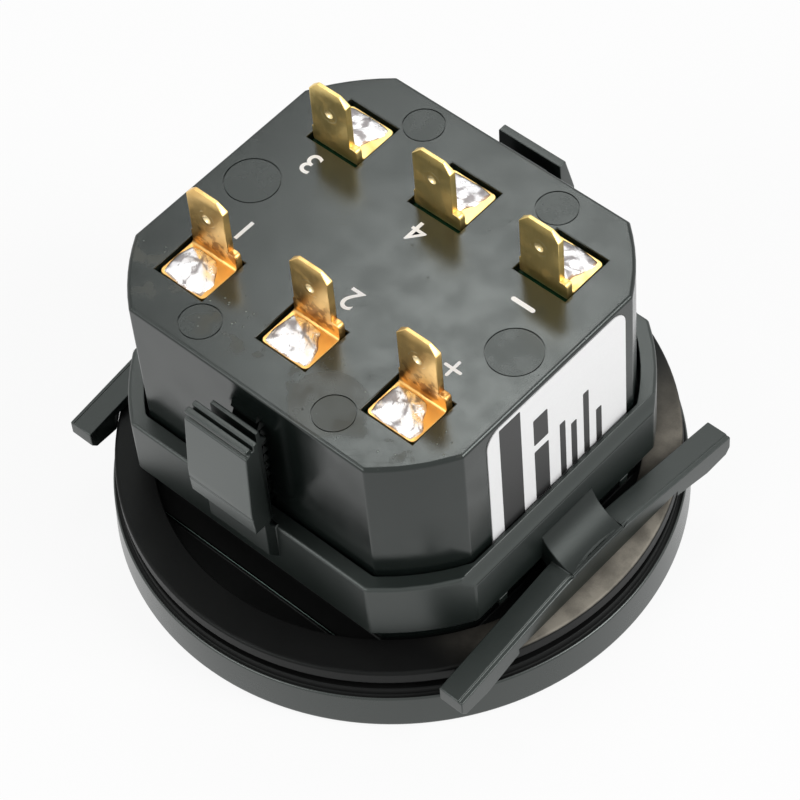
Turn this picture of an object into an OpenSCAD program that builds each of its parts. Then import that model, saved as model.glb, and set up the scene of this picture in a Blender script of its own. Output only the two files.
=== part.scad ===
// Digital tachometer for a round panel hole, lying face down on its front rim.
// Millimetres. +Z points to the rear, where the six blades stand, and X runs along the rows of blades.
// The clip is drawn where the photograph has it: pushed down the body until its arms meet the flange.

/* [Body] */
// Width of the body across the flats along X
body_w = 41.3; // [41:0.1:60]
// Depth of the body across the flats along Y
body_l = 37.4; // [37:0.1:56]
// How far the round of the body cuts in from the corner of its flats
corner_cut = 4.06; // [3:0.02:5.4]
// Height of the rear face above the front rim
rear_h = 34.5; // [33:0.1:60]
// Thickness of the side walls
wall = 1.5; // [1.2:0.05:1.9]
// Thickness of the rear wall
rear_wall = 1.2; // [0.9:0.05:2]
// Bevel round the rear face
rear_bevel = 0.4; // [0.1:0.05:0.8]

/* [Flange and bezel] */
// Width of the moat between the round of the body and the flange
moat_w = 0.65; // [0.4:0.05:1.6]
// Depth of the moat below the rear face of the flange
moat_depth = 1.7; // [0.8:0.1:1.8]
// How far the raised floor of the moat reaches beyond the flats at the latches
floor_step = 2.5; // [1.5:0.1:3]
// Height of the raised floor above the bottom of the moat
floor_h = 0.55; // [0.2:0.05:0.7]
// Width of the flange beyond the moat, which seats on the panel
flange_w = 3.95; // [2.6:0.05:8]
// Thickness of the flange
flange_t = 1.6; // [1.2:0.05:3]
// Height of the groove between the flange and the bezel ring
groove_h = 1.05; // [0.6:0.05:2]
// Depth of that groove
groove_d = 0.6; // [0.2:0.05:0.8]
// Step of the bezel band beyond the flange
bezel_step = 0.8; // [0.4:0.1:2]
// Height of the bezel band
bezel_band_h = 4.55; // [4:0.05:5]
// Height of the whole bezel ring, on which the housing seats
bezel_h = 5.45; // [5.3:0.05:8]
// Draft of the bezel band, as loss of radius over its height
bezel_draft = 0.23; // [0:0.01:0.5]
// Rounding of the front edge of the bezel
bezel_round = 0.6; // [0.2:0.1:1]
// Thickness of the lip that holds the lens
lip_t = 1.4; // [1:0.1:2]
// How far the lip laps over the lens
lip_lap = 2; // [1.2:0.1:3]

/* [Front stack] */
// Thickness of the lens
lens_t = 1.6; // [1:0.1:2]
// How far the middle of the lens stands forward of its edge
lens_crown = 0.8; // [0:0.1:1]
// Thickness of the seal behind the lens
seal_t = 0.8; // [0.5:0.1:1.2]
// Thickness of the dial plate
dial_t = 0.3; // [0.2:0.05:0.5]
// Width of the display opening in the dial
view_w = 30; // [20:0.5:31]
// Height of the display opening in the dial
view_l = 12.4; // [8:0.2:13]
// Width of the display glass
glass_w = 33.6; // [32:0.2:34]
// Depth of the display glass
glass_l = 19.6; // [19:0.2:20.4]
// Thickness of one of the two sheets of the display glass
glass_t = 1.1; // [0.7:0.1:1.3]
// Depth of the ledge on which the rubber contacts land
glass_ledge = 2.5; // [2.2:0.1:2.8]
// Distance from the dial plate to the main board
display_depth = 8.9; // [8:0.1:12]
// Wall of the display frame
frame_wall = 1.1; // [0.8:0.1:1.2]
// Thickness of the light guide
guide_t = 3; // [2:0.1:3.4]

/* [Boards] */
// Thickness of both circuit boards
board_t = 1.6; // [1:0.1:2]
// Side gap of the boards in the body
board_gap = 0.3; // [0.15:0.05:0.5]
// Distance of each long screw boss from the flat wall beside it
boss_inset = 4.15; // [3.6:0.05:4.6]
// Radius of the long screw bosses
boss_r = 2.85; // [2.4:0.05:3]
// Radius of the bore in the long screw bosses
pilot_r = 0.95; // [0.7:0.05:1.2]
// Depth of the bore in the long screw bosses
pilot_h = 8; // [7.5:0.5:12]
// Length of the board screws under the head
screw_l = 7; // [5:0.5:7]
// Distance of the heat stakes from the middle along X
stake_x = 8.4; // [8:0.1:8.8]
// Distance of each heat stake from the flat wall beside it
stake_inset = 3.1; // [2.9:0.05:3.4]
// Radius of the heat stakes
stake_r = 0.8; // [0.6:0.05:0.9]
// Radius of the round marks over the heat stakes
stake_mark_r = 2.15; // [1.5:0.05:2.4]
// Depth of the round marks in the rear face
mark_depth = 0.12; // [0.05:0.01:0.3]

/* [Blades] */
// Distance between neighbouring blades of a row
blade_pitch = 13.1; // [12.8:0.05:13.6]
// Distance of the middle of each row of windows from the middle of the body
row_y = 10.8; // [10.4:0.05:11.2]
// Width of a window
window_w = 6.3; // [6:0.05:6.6]
// Depth of a window
window_l = 5.85; // [5.6:0.05:6.2]
// Gap between a foot and the sides of its window
foot_gap = 0.25; // [0.15:0.05:0.5]
// Width of a blade
blade_w = 4.75; // [4:0.05:5]
// Thickness of the brass
blade_t = 0.8; // [0.5:0.05:0.9]
// Height of the blade above its shoulders
blade_l = 6.3; // [5:0.1:8]
// Height of the shoulders above the rear face
shoulder_h = 1.4; // [0.8:0.1:3]
// How far a blade stands off the middle of its foot
blade_offset = 0.35; // [0:0.05:0.4]
// Chamfers of a blade's tip, across its width
tip_chamfer = 1; // [0.4:0.1:1.4]
// Rounding of a blade's shoulders
shoulder_round = 0.45; // [0.2:0.05:0.6]
// Radius of the detent in a blade
detent_r = 0.75; // [0.5:0.05:1]
// Height of a solder joint on its foot
solder_h = 0.6; // [0.2:0.05:0.8]
// Width of the bare border that the solder leaves on its foot
solder_border = 0.3; // [0.2:0.05:1]

/* [Label] */
// Width of the label on the +X wall
label_w = 19.5; // [10:0.1:20]
// Height of the label
label_h = 21; // [15:0.1:22]
// Distance of the middle of the label from the middle of its wall
label_shift = 0.9; // [0:0.1:1]
// Corner radius of the label
label_r = 1.8; // [0.5:0.1:3]
// Thickness of the label
label_t = 0.1; // [0.05:0.01:0.15]

/* [Clip collar] */
// Gap between the collar and the body
clip_gap = 0.3; // [0.2:0.05:0.5]
// Height of the collar
collar_h = 7.4; // [6:0.1:10]
// Height of the collar's lower edge above the underside of the arms
collar_lift = 2.5; // [2:0.05:5]
// Thickness of the collar at the arms
collar_x_wall = 1.25; // [1:0.05:2]
// Thickness of the collar at the latches
collar_y_wall = 1.7; // [1.4:0.05:2.2]
// Thickness of the collar at its round corners
collar_r_wall = 1.65; // [1.2:0.05:2.2]
// Width of the sloping shoulder of the collar at the arms
shoulder_w = 0.8; // [0.2:0.05:1]
// Drop of that shoulder
shoulder_drop = 1.6; // [0.5:0.1:3]

/* [Clip arms] */
// Gap between the flange and the arms
arm_gap = 0.3; // [0.2:0.05:1]
// Distance of the inner side of an arm from the flat of the collar
arm_off = 1.1; // [0.6:0.05:2]
// Width of an arm along X
arm_w = 2.85; // [2:0.05:4]
// Half of the length of an arm
arm_half = 20.15; // [16:0.05:26]
// Depth of an arm at its middle
arm_mid_t = 3.15; // [2.6:0.05:5]
// Radius of the bow along the top of an arm
arm_bow_r = 44; // [30:1:80]
// How far the bow reaches from the middle before the arm runs straight
arm_bow_reach = 7; // [5:0.5:9]
// Drop of the tips of the arms below their middle
arm_tip_drop = 2; // [0:0.05:2.4]
// Half of the width of the saddle that carries an arm
saddle_half = 3.7; // [2:0.1:6]
// Radius of the hollow in the saddle
saddle_r = 4.63; // [4:0.01:7]

/* [Clip latches] */
// Half of the width of a latch at its top
latch_half = 3.9; // [3.4:0.1:6]
// Height of the latch above the collar
latch_h = 13.8; // [12:0.1:16]
// Flare of the finger pad on each side
pad_flare = 0.3; // [0:0.05:0.6]
// Height of the lower edge of the finger pad above the collar
pad_lift = 1.8; // [1:0.1:3]
// Half of the width of the toothed rack on the body
rack_half = 1.6; // [1.2:0.1:3]
// Height of the teeth of the rack
tooth_h = 0.45; // [0.3:0.05:0.55]
// Distance between neighbouring teeth
tooth_pitch = 1.25; // [1:0.05:2]
// Gap between the crests of the rack and the pawl
pawl_gap = 0.1; // [0.05:0.01:0.2]

/* [Hidden] */

$fn = 96;
over = 0.5;                 // how far a cutting shape reaches past what it cuts
fit = 0.05;                 // side gap of a close round or square fit
body_x = body_w / 2;
body_y = body_l / 2;
body_r = norm([body_x, body_y]) - corner_cut;
moat_r = body_r + moat_w;
flange_r = moat_r + flange_w;
bezel_r = flange_r + bezel_step;
groove_z = bezel_h + groove_h;
flange_z = groove_z + flange_t;
moat_z = flange_z - moat_depth;

// Front stack, from the lip backwards
ring_wall = 0.9;
bore_r = flange_r - ring_wall;
lip_r = bore_r - lip_lap;
lens_z = lip_t + lens_t;
seal_r = bore_r - 1.8;      // inner radius of the seal and of the spigot behind it
spigot_z = lens_z + seal_t;
spigot_r = bore_r - fit;
bead_z = (spigot_z + bezel_h) / 2 + 0.15;
bead_h = 0.15;
dial_z = lens_z + dial_t;
board_z = dial_z + display_depth;
board_rear_z = board_z + board_t;
frame_lip = 0.8;
glass_z = dial_z + frame_lip;
guide_z = glass_z + 2 * glass_t;
frame_w = glass_w + 2 * (fit + frame_wall);
frame_l = glass_l + 2 * (fit + frame_wall);
lamp_x = 12.5;
lamp_h = 0.8;

// Rear stack
rear_inner_z = rear_h - rear_wall;
term_board_z = rear_inner_z - board_t;
boss_x = body_x - boss_inset;
stake_y = body_y - stake_inset;
blade_z = rear_h + shoulder_h + blade_l;
foot_w = window_w - 2 * foot_gap;
row_side = window_l / 2 - foot_gap / 2;

// Clip at home
arm_z = flange_z + arm_gap;
collar_z = arm_z + collar_lift;
rim_z = collar_z + collar_h;
collar_x = body_x + clip_gap + collar_x_wall;
collar_y = body_y + clip_gap + collar_y_wall;
collar_r = body_r + clip_gap + collar_r_wall;
arm_x = collar_x + arm_off;
latch_z = rim_z + latch_h;
rack_y = body_y + tooth_h;
rack_z = flange_z + 1.5;
teeth = floor((rear_h - 2.2 - rack_z) / tooth_pitch);

// Colours
black = [0.10, 0.105, 0.11];
satin_black = [0.13, 0.135, 0.14];
brass = [0.80, 0.60, 0.24];
tin = [0.80, 0.80, 0.79];
green = [0.06, 0.28, 0.16];
chip_black = [0.07, 0.07, 0.08];

// Points of an arc from angle a to angle b, in n steps
function arc(cx, cy, r, a, b, n = 5) =
    [for (i = [0:n]) let (t = a + (b - a) * i / n) [cx + r * cos(t), cy + r * sin(t)]];

// The outline of the body, a circle cut by four flats, grown by g
module body_outline(g = 0) {
    intersection() {
        circle(r = body_r + g);
        square([body_w + 2 * g, body_l + 2 * g], center = true);
    }
}

// A side view drawn across X and Z, made solid between y0 and y1
module across_y(y0, y1) {
    translate([0, y1, 0]) rotate([90, 0, 0]) linear_extrude(y1 - y0) children();
}

// A side view drawn across Y and Z, made solid between x0 and x1
module across_x(x0, x1) {
    translate([x0, 0, 0]) rotate([90, 0, 90]) linear_extrude(x1 - x0) children();
}

// A side view with half width w from z0 to z1, with its top edges bevelled by bw and bh
module bevel_view(w, z0, z1, bw, bh) {
    polygon([[-w, z0], [w, z0], [w, z1 - bh], [w - bw, z1], [bw - w, z1], [-w, z1 - bh]]);
}

// A round bar cut by four flats. Each bevel is [width, height] round the top edge.
module cut_round(r, x, y, z0, z1, round_bevel = [0, 0], x_bevel = [0, 0], y_bevel = [0, 0]) {
    intersection() {
        rotate_extrude()
            polygon([[0, z0], [r, z0], [r, z1 - round_bevel[1]], [r - round_bevel[0], z1], [0, z1]]);
        across_y(-y - over, y + over) bevel_view(x, z0, z1, x_bevel[0], x_bevel[1]);
        across_x(-x - over, x + over) bevel_view(y, z0, z1, y_bevel[0], y_bevel[1]);
    }
}

// A copy on each side of the middle
module both_x() {
    children();
    mirror([1, 0, 0]) children();
}

module both_y() {
    children();
    mirror([0, 1, 0]) children();
}

// The middle of each window, with row 1 on the +Y side
module at_windows() {
    for (side = [1, -1], i = [-1:1]) translate([i * blade_pitch, side * row_y, 0]) children();
}

// One of the two racks: barbs that let the clip go down and hold it from coming back
module rack() {
    across_x(-rack_half, rack_half) {
        translate([body_y - over, rack_z]) square([over, teeth * tooth_pitch]);
        for (i = [0:teeth - 1])
            translate([body_y, rack_z + i * tooth_pitch])
                polygon([[-0.1, 0], [tooth_h, 0], [tooth_h, 0.25], [0, tooth_pitch - 0.1], [-0.1, tooth_pitch - 0.1]]);
    }
}

// The two long bosses that carry the main board, each with its bore
module long_bosses() {
    both_x() translate([boss_x, 0, board_rear_z]) cylinder(r = boss_r, h = rear_inner_z + 0.1 - board_rear_z);
}

// The pins and melted heads that hold the terminal board
module heat_stakes() {
    for (x = [-stake_x, stake_x], y = [-stake_y, stake_y]) translate([x, y, 0]) {
        translate([0, 0, term_board_z - 0.5]) cylinder(r = stake_r, h = board_t + 0.6);
        translate([0, 0, term_board_z - 0.7]) cylinder(r1 = stake_r, r2 = stake_r + 0.35, h = 0.7);
    }
}

// The flange with its spigot, the groove under it, and the moat that keeps the body's foot below the panel
module flange() {
    edge = 0.35;
    difference() {
        rotate_extrude() polygon(concat(
            [[0, spigot_z], [spigot_r, spigot_z], [spigot_r, bead_z - 0.3], [spigot_r + bead_h, bead_z],
             [spigot_r, bead_z + 0.3], [spigot_r, bezel_h], [flange_r - groove_d, bezel_h],
             [flange_r - groove_d, groove_z], [flange_r, groove_z]],
            arc(flange_r - edge, flange_z - edge, edge, 0, 90), [[0, flange_z]]));
        translate([0, 0, moat_z]) cylinder(r = moat_r, h = moat_depth + over);
    }
    cut_round(moat_r + 0.2, moat_r + 1, body_y + floor_step, bezel_h, moat_z + floor_h,
              [0, 0], [0, 0], [0.15, 0.15]);
}

// The moulded case: flange, walls, racks, bosses and the windowed rear face
module rear_housing() {
    color(black) difference() {
        union() {
            cut_round(body_r, body_x, body_y, bezel_h, rear_h,
                      [rear_bevel, rear_bevel], [rear_bevel, rear_bevel], [rear_bevel, rear_bevel]);
            flange();
            both_y() rack();
        }
        difference() {
            union() {
                translate([0, 0, bezel_h - 0.1]) linear_extrude(rear_inner_z - bezel_h + 0.1) body_outline(-wall);
                translate([0, 0, spigot_z - over]) cylinder(r = seal_r, h = bezel_h - spigot_z + over);
            }
            long_bosses();
            heat_stakes();
        }
        both_x() translate([boss_x, 0, board_rear_z - over]) cylinder(r = pilot_r, h = pilot_h + over);
        at_windows() translate([-window_w / 2, -window_l / 2, rear_inner_z - over])
            cube([window_w, window_l, rear_wall + 2 * over]);
        both_x() translate([boss_x, 0, rear_h - mark_depth]) cylinder(r = boss_r, h = over);
        for (x = [-stake_x, stake_x], y = [-stake_y, stake_y])
            translate([x, y, rear_h - mark_depth]) cylinder(r = stake_mark_r, h = over);
    }
}

// The front ring: lip, drafted band, and a step that meets the flange, with a groove for the spigot's bead
module bezel_ring() {
    color(satin_black) rotate_extrude() polygon(concat(
        [[lip_r, lip_t], [lip_r, 0.5], [lip_r + 0.5, 0]],
        arc(bezel_r - bezel_round, bezel_round, bezel_round, -90, 0),
        arc(bezel_r - bezel_draft - 0.25, bezel_band_h - 0.25, 0.25, 0, 90, 3),
        [[flange_r, bezel_band_h]], arc(flange_r - 0.15, bezel_h - 0.15, 0.15, 0, 90, 2),
        [[bore_r, bezel_h], [bore_r, bead_z + 0.4],
         [bore_r + bead_h, bead_z], [bore_r, bead_z - 0.4], [bore_r, lip_t]]));
}

// The clear window, with a raised middle that fills the bezel's opening
module lens() {
    color([0.85, 0.92, 0.95, 0.35]) rotate_extrude()
        polygon([[0, lip_t - lens_crown], [lip_r - 0.7, lip_t - lens_crown], [lip_r - 0.3, lip_t - lens_crown + 0.4],
                 [lip_r - 0.3, lip_t], [bore_r - 0.1, lip_t], [bore_r - 0.1, lens_z], [0, lens_z]]);
}

module lens_seal() {
    color([0.16, 0.16, 0.17]) translate([0, 0, lens_z]) difference() {
        cylinder(r = bore_r - 0.2, h = seal_t);
        translate([0, 0, -over]) cylinder(r = seal_r, h = seal_t + 2 * over);
    }
}

// The mask behind the lens, with the display's opening
module dial_plate() {
    color([0.08, 0.08, 0.09]) translate([0, 0, lens_z]) difference() {
        cylinder(r = seal_r - 0.1, h = dial_t);
        translate([-view_w / 2, -view_l / 2, -over]) cube([view_w, view_l, dial_t + 2 * over]);
    }
}

// A block from z to z + h, centred on the Z axis
module block(w, l, z, h) {
    translate([-w / 2, -l / 2, z]) cube([w, l, h]);
}

// Two bonded sheets: the front one has bare ledges for the rubber contacts
module lcd_glass() {
    color([0.55, 0.62, 0.50]) {
        block(glass_w, glass_l, glass_z, glass_t);
        block(glass_w, glass_l - 2 * glass_ledge, glass_z + glass_t, glass_t);
    }
}

// The tray that holds glass, light guide and contacts against the board
module lcd_frame() {
    color([0.82, 0.82, 0.80]) difference() {
        block(frame_w, frame_l, dial_z, display_depth);
        block(view_w + 0.8, view_l + 0.8, dial_z - over, 2 * over + frame_lip);
        block(glass_w + 2 * fit, glass_l + 2 * fit, glass_z, display_depth);
        both_x() translate([boss_x, 0, board_z - 2.4]) cylinder(r = 2.6, h = 2.4 + over);
    }
}

// The lit block behind the display, on two legs that stand over the lamps
module light_guide() {
    leg = [1.6, 8];
    color([0.93, 0.94, 0.90]) {
        block(2 * lamp_x + 4, glass_l - 2 * glass_ledge - 0.4, guide_z, guide_t);
        both_x() translate([lamp_x - leg[0] / 2, -leg[1] / 2, guide_z + guide_t - 0.1])
            cube([leg[0], leg[1], board_z - lamp_h - 0.2 - guide_z - guide_t]);
    }
}

// One rubber contact strip, from the ledge of the glass to the board
module zebra(side) {
    color([0.35, 0.35, 0.36]) translate([0, side * (glass_l - glass_ledge) / 2, 0])
        block(glass_w - 2.6, glass_ledge - 0.6, glass_z + glass_t, board_z - glass_z - glass_t);
}

module zebra_upper() { zebra(1); }
module zebra_lower() { zebra(-1); }

module main_board() {
    color(green) translate([0, 0, board_z]) difference() {
        linear_extrude(board_t) body_outline(-wall - board_gap);
        both_x() translate([boss_x, 0, -over]) cylinder(r = 1.2, h = board_t + 2 * over);
    }
}

// A square flat pack with legs on four sides
module processor() {
    legs = 11;
    leg_pitch = 0.8;
    translate([5.2, -9, board_rear_z]) {
        color(chip_black) translate([-4.5, -4.5, 0.1])
            linear_extrude(1.4) polygon([[0.4, 0], [9, 0], [9, 9], [0, 9], [0, 0.4]]);
        color(tin) for (turn = [0:3], i = [0:legs - 1]) rotate(90 * turn)
            translate([4.4, (i - (legs - 1) / 2) * leg_pitch * 0.95 - 0.17, 0]) cube([1.1, 0.34, 0.5]);
    }
}

module memory_chip() {
    translate([-6.5, -13.4, board_rear_z]) {
        color(chip_black) translate([-2.45, -1.95, 0.1]) cube([4.9, 3.9, 1.4]);
        color(tin) for (side = [-1, 1], i = [-1.5:1.5])
            translate([i * 1.2 - 0.2, side > 0 ? 1.85 : -2.95, 0]) cube([0.4, 1.1, 0.5]);
    }
}

// The oval metal can of the clock crystal, on its flat base
module crystal() {
    translate([-8, -8, board_rear_z]) color([0.75, 0.76, 0.77]) {
        linear_extrude(0.5) crystal_outline(0.3);
        translate([0, 0, 0.4]) linear_extrude(3.1) crystal_outline(0);
    }
}

module crystal_outline(g) {
    for (x = [-3.4, 3.4]) translate([x, 0]) circle(r = 2.1 + g);
    square([6.8, 4.2 + 2 * g], center = true);
}

// The regulator with its soldered tab and three legs
module voltage_regulator() {
    translate([-8, 8.6, board_rear_z]) {
        color(chip_black) translate([-3.3, -3, 0]) cube([6.6, 6, 2.3]);
        color(tin) translate([-2.6, 2.9, 0]) cube([5.2, 1.2, 0.6]);
        color(tin) for (i = [-1:1]) translate([2.3 * i - 0.35, -4.6, 0]) cube([0.7, 1.7, 0.6]);
    }
}

// The upright capacitor on its square base, with a rolled neck
module capacitor() {
    translate([7.4, 8.8, board_rear_z]) {
        color(chip_black) linear_extrude(1) polygon([[-3.3, -3.3], [2.2, -3.3], [3.3, -2.2], [3.3, 2.2],
                                                     [2.2, 3.3], [-3.3, 3.3]]);
        color([0.78, 0.79, 0.80]) translate([0, 0, 0.9]) rotate_extrude()
            polygon(concat([[0, 0], [3.1, 0], [3.1, 0.6], [2.85, 0.9], [3.1, 1.2]],
                           arc(2.8, 7, 0.3, 0, 90, 3), [[0, 7.3]]));
    }
}

// Two lamps under the legs of the light guide
module backlight_leds() {
    size = 3.2;
    color([0.95, 0.93, 0.80]) both_x() translate([lamp_x - size / 2, -size / 2, board_z - lamp_h])
        cube([size, size, lamp_h]);
}

header_pins = 8;
header_pitch = 2.54;
header_w = header_pins * header_pitch;
socket_h = 8.5;
pin_w = 0.64;

// Places of the pins of the header
module at_pins() {
    for (i = [0:header_pins - 1]) translate([(i - (header_pins - 1) / 2) * header_pitch, 0, 0]) children();
}

// The socket strip on the main board
module header_socket() {
    color(chip_black) difference() {
        block(header_w, 2.5, board_rear_z, socket_h);
        at_pins() block(pin_w + 2 * fit, pin_w + 2 * fit, board_rear_z + 1, socket_h);
    }
}

// The pin strip under the terminal board, with pins long enough to reach the socket
module pin_header() {
    strip_z = term_board_z - 2.5;
    color(chip_black) block(header_w, 2.5, strip_z, 2.5);
    color([0.83, 0.70, 0.35]) at_pins() {
        block(pin_w, pin_w, board_rear_z + socket_h - 5, strip_z + 0.1 - board_rear_z - socket_h + 5);
        block(pin_w, pin_w, term_board_z - 0.1, board_t);
    }
}

module terminal_board() {
    color(green) translate([0, 0, term_board_z]) difference() {
        linear_extrude(board_t) body_outline(-wall - board_gap);
        both_x() translate([boss_x, 0, -over]) cylinder(r = boss_r + 0.25, h = board_t + 2 * over);
        for (x = [-stake_x, stake_x], y = [-stake_y, stake_y])
            translate([x, y, -over]) cylinder(r = stake_r + fit, h = board_t + 2 * over);
        at_pins() block(pin_w + 2 * fit, pin_w + 2 * fit, -over, board_t + 2 * over);
    }
}

// The disc that takes voltage spikes, hung under the terminal board on two leads
module surge_varistor() {
    disc_z = term_board_z - 5.6;
    color([0.10, 0.25, 0.55]) translate([0, -9.4, disc_z]) rotate([90, 0, 0]) cylinder(r = 4, h = 3, center = true);
    color(tin) for (x = [-2.5, 2.5]) translate([x - 0.3, -9.7, disc_z + 2.6]) cube([0.6, 0.6, 3]);
}

// Two identical screws that hold the main board to its bosses
module board_screws() {
    color([0.72, 0.73, 0.75]) both_x() translate([boss_x, 0, board_z]) difference() {
        rotate_extrude() polygon(concat([[0, -1.3]], arc(1.6, -0.8, 0.5, -90, 0, 4),
            [[2.1, 0], [pilot_r - fit, 0], [pilot_r - fit, screw_l - 0.8], [0, screw_l]]));
        for (turn = [0, 90]) rotate(turn) translate([-1.1, -0.18, -1.8]) cube([2.2, 0.36, 1.1]);
    }
}

// One bent brass blade. Its foot lies along +Y from the strap.
module blade() {
    bend_r = 1;
    foot_z = rear_inner_z;
    half = foot_w / 2;
    side = blade_w / 2;
    shoulder_z = rear_h + shoulder_h;
    left = -side - blade_offset;
    right = side - blade_offset;
    ear = min(shoulder_round, half - right);
    color(brass) difference() {
        intersection() {
            across_x(-half, half) polygon(concat(
                arc(bend_r, foot_z + bend_r, bend_r, 180, 270),
                [[2 * row_side - 0.15, foot_z], [2 * row_side - 0.15, foot_z + blade_t]],
                arc(blade_t + 0.3, foot_z + blade_t + 0.3, 0.3, 270, 180, 3),
                [[blade_t, blade_z - 1], [blade_t - 0.2, blade_z], [0.2, blade_z], [0, blade_z - 1]]));
            across_y(-over, 2 * row_side + over) polygon(concat(
                [[-half, foot_z - over], [half, foot_z - over]],
                arc(half - ear, shoulder_z - ear, ear, 0, 90, 4),
                [[right, shoulder_z], [right, blade_z - tip_chamfer], [right - tip_chamfer, blade_z],
                 [left + tip_chamfer, blade_z], [left, blade_z - tip_chamfer], [left, shoulder_z],
                 [-half, shoulder_z - 0.1]]));
        }
        for (y = [0.15, blade_t - 0.15]) translate([-blade_offset, y, shoulder_z + blade_l / 2])
            rotate([y < blade_t / 2 ? 90 : -90, 0, 0]) cylinder(r = detent_r, h = 1);
        translate([0, row_side + blade_t / 2, foot_z - over]) cylinder(r = 0.9, h = blade_t + 2 * over);
    }
}

// A blade in its window. Row side 1 is the +Y row, and the -Y row is its mirror image.
module terminal(i, side) {
    translate([i * blade_pitch, 0, 0]) mirror([0, side > 0 ? 0 : 1, 0])
        translate([0, row_y - window_l / 2 + foot_gap / 2, 0]) blade();
}

module terminal_1() { terminal(-1, 1); }
module terminal_2() { terminal(0, 1); }
module terminal_3() { terminal(1, 1); }
module terminal_4() { terminal(-1, -1); }
module terminal_5() { terminal(0, -1); }
module terminal_6() { terminal(1, -1); }

// The mound of solder on a foot, with the plug that fills the hole in it
module solder() {
    w = foot_w - 2 * solder_border;
    l = 2 * row_side - blade_t - 0.45 - 2 * solder_border;
    foot_top = rear_inner_z + blade_t;
    reach = norm([w, l]) / 2;
    dome_r = (reach * reach + solder_h * solder_h) / (2 * solder_h);
    intersection() {
        translate([0, 0, foot_top + solder_h - dome_r]) sphere(r = dome_r);
        translate([0, 0, foot_top]) linear_extrude(solder_h + over) square([w, l], center = true);
    }
    translate([0, 0, rear_inner_z]) cylinder(r = 0.9 - fit, h = blade_t + 0.1);
}

module solder_joints() {
    color(tin) for (side = [1, -1], i = [-1:1])
        translate([i * blade_pitch, side * (row_y - window_l / 2 + foot_gap / 2 + row_side + blade_t / 2), 0])
            solder();
}

// The sticker on the +X wall
module rating_label() {
    z1 = rear_h - rear_bevel - 0.2;
    color([0.95, 0.95, 0.95]) across_x(body_x, body_x + label_t) translate([label_shift, z1 - label_h / 2]) {
        square([label_w - 2 * label_r, label_h], center = true);
        square([label_w, label_h - 2 * label_r], center = true);
        for (y = [-1, 1], z = [-1, 1])
            translate([y * (label_w / 2 - label_r), z * (label_h / 2 - label_r)]) circle(r = label_r);
    }
}

// The sleeve of the clip, with keyways for the racks
module collar() {
    difference() {
        cut_round(collar_r, collar_x, collar_y, collar_z, rim_z,
                  [0.35, 0.35], [shoulder_w, shoulder_drop], [0.35, 0.35]);
        translate([0, 0, collar_z - over]) linear_extrude(collar_h + 2 * over) body_outline(clip_gap);
        both_y() translate([-rack_half - clip_gap, 0, collar_z - over])
            cube([2 * (rack_half + clip_gap), rack_y + clip_gap, collar_h + 2 * over]);
    }
    both_x() for (y = [-9.45, 8.45])
        translate([collar_x - 1, y - 0.6, collar_z - 0.9]) cube([1, 1.2, 1]);
}

// The side view of an arm: bowed along its top, with its tips a little lower than its middle
module arm_view(drop) {
    bow_z = arm_z + arm_mid_t - drop;
    bow_angle = asin(arm_bow_reach / arm_bow_r);
    end_z = bow_z - arm_bow_r * (1 - cos(bow_angle)) - tan(bow_angle) * (arm_half - arm_bow_reach);
    tip_z = arm_z - arm_tip_drop;
    polygon(concat(
        [[-arm_half, tip_z + 0.7], [-arm_half + 0.6, tip_z], [-arm_half + 3.6, tip_z], [-9, arm_z], [9, arm_z],
         [arm_half - 3.6, tip_z], [arm_half - 0.6, tip_z], [arm_half, tip_z + 0.7], [arm_half, end_z]],
        arc(0, bow_z - arm_bow_r, arm_bow_r, 90 - bow_angle, 90 + bow_angle, 12),
        [[-arm_half, end_z]]));
}

// One spring arm, relieved where it passes over the flange, and the hollow saddle that carries it
module arm() {
    step = 0.45;
    outer_x = arm_x + arm_w;
    difference() {
        union() {
            across_x(arm_x, outer_x - step) arm_view(0);
            across_x(outer_x - step - 0.01, outer_x) arm_view(0.15);
        }
        translate([0, 0, arm_z - 3]) cylinder(r = flange_r + arm_gap, h = 3);
    }
    across_y(-saddle_half, saddle_half) difference() {
        polygon([[collar_x - 0.6, collar_z], [collar_x - 0.6, collar_z + 3.7], [outer_x - 0.15, collar_z + 3.7],
                 [outer_x - 0.15, collar_z - 1.6], [arm_x, collar_z - 1.6]]);
        translate([outer_x + 0.45, collar_z + 5.1]) circle(r = saddle_r);
    }
}

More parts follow.
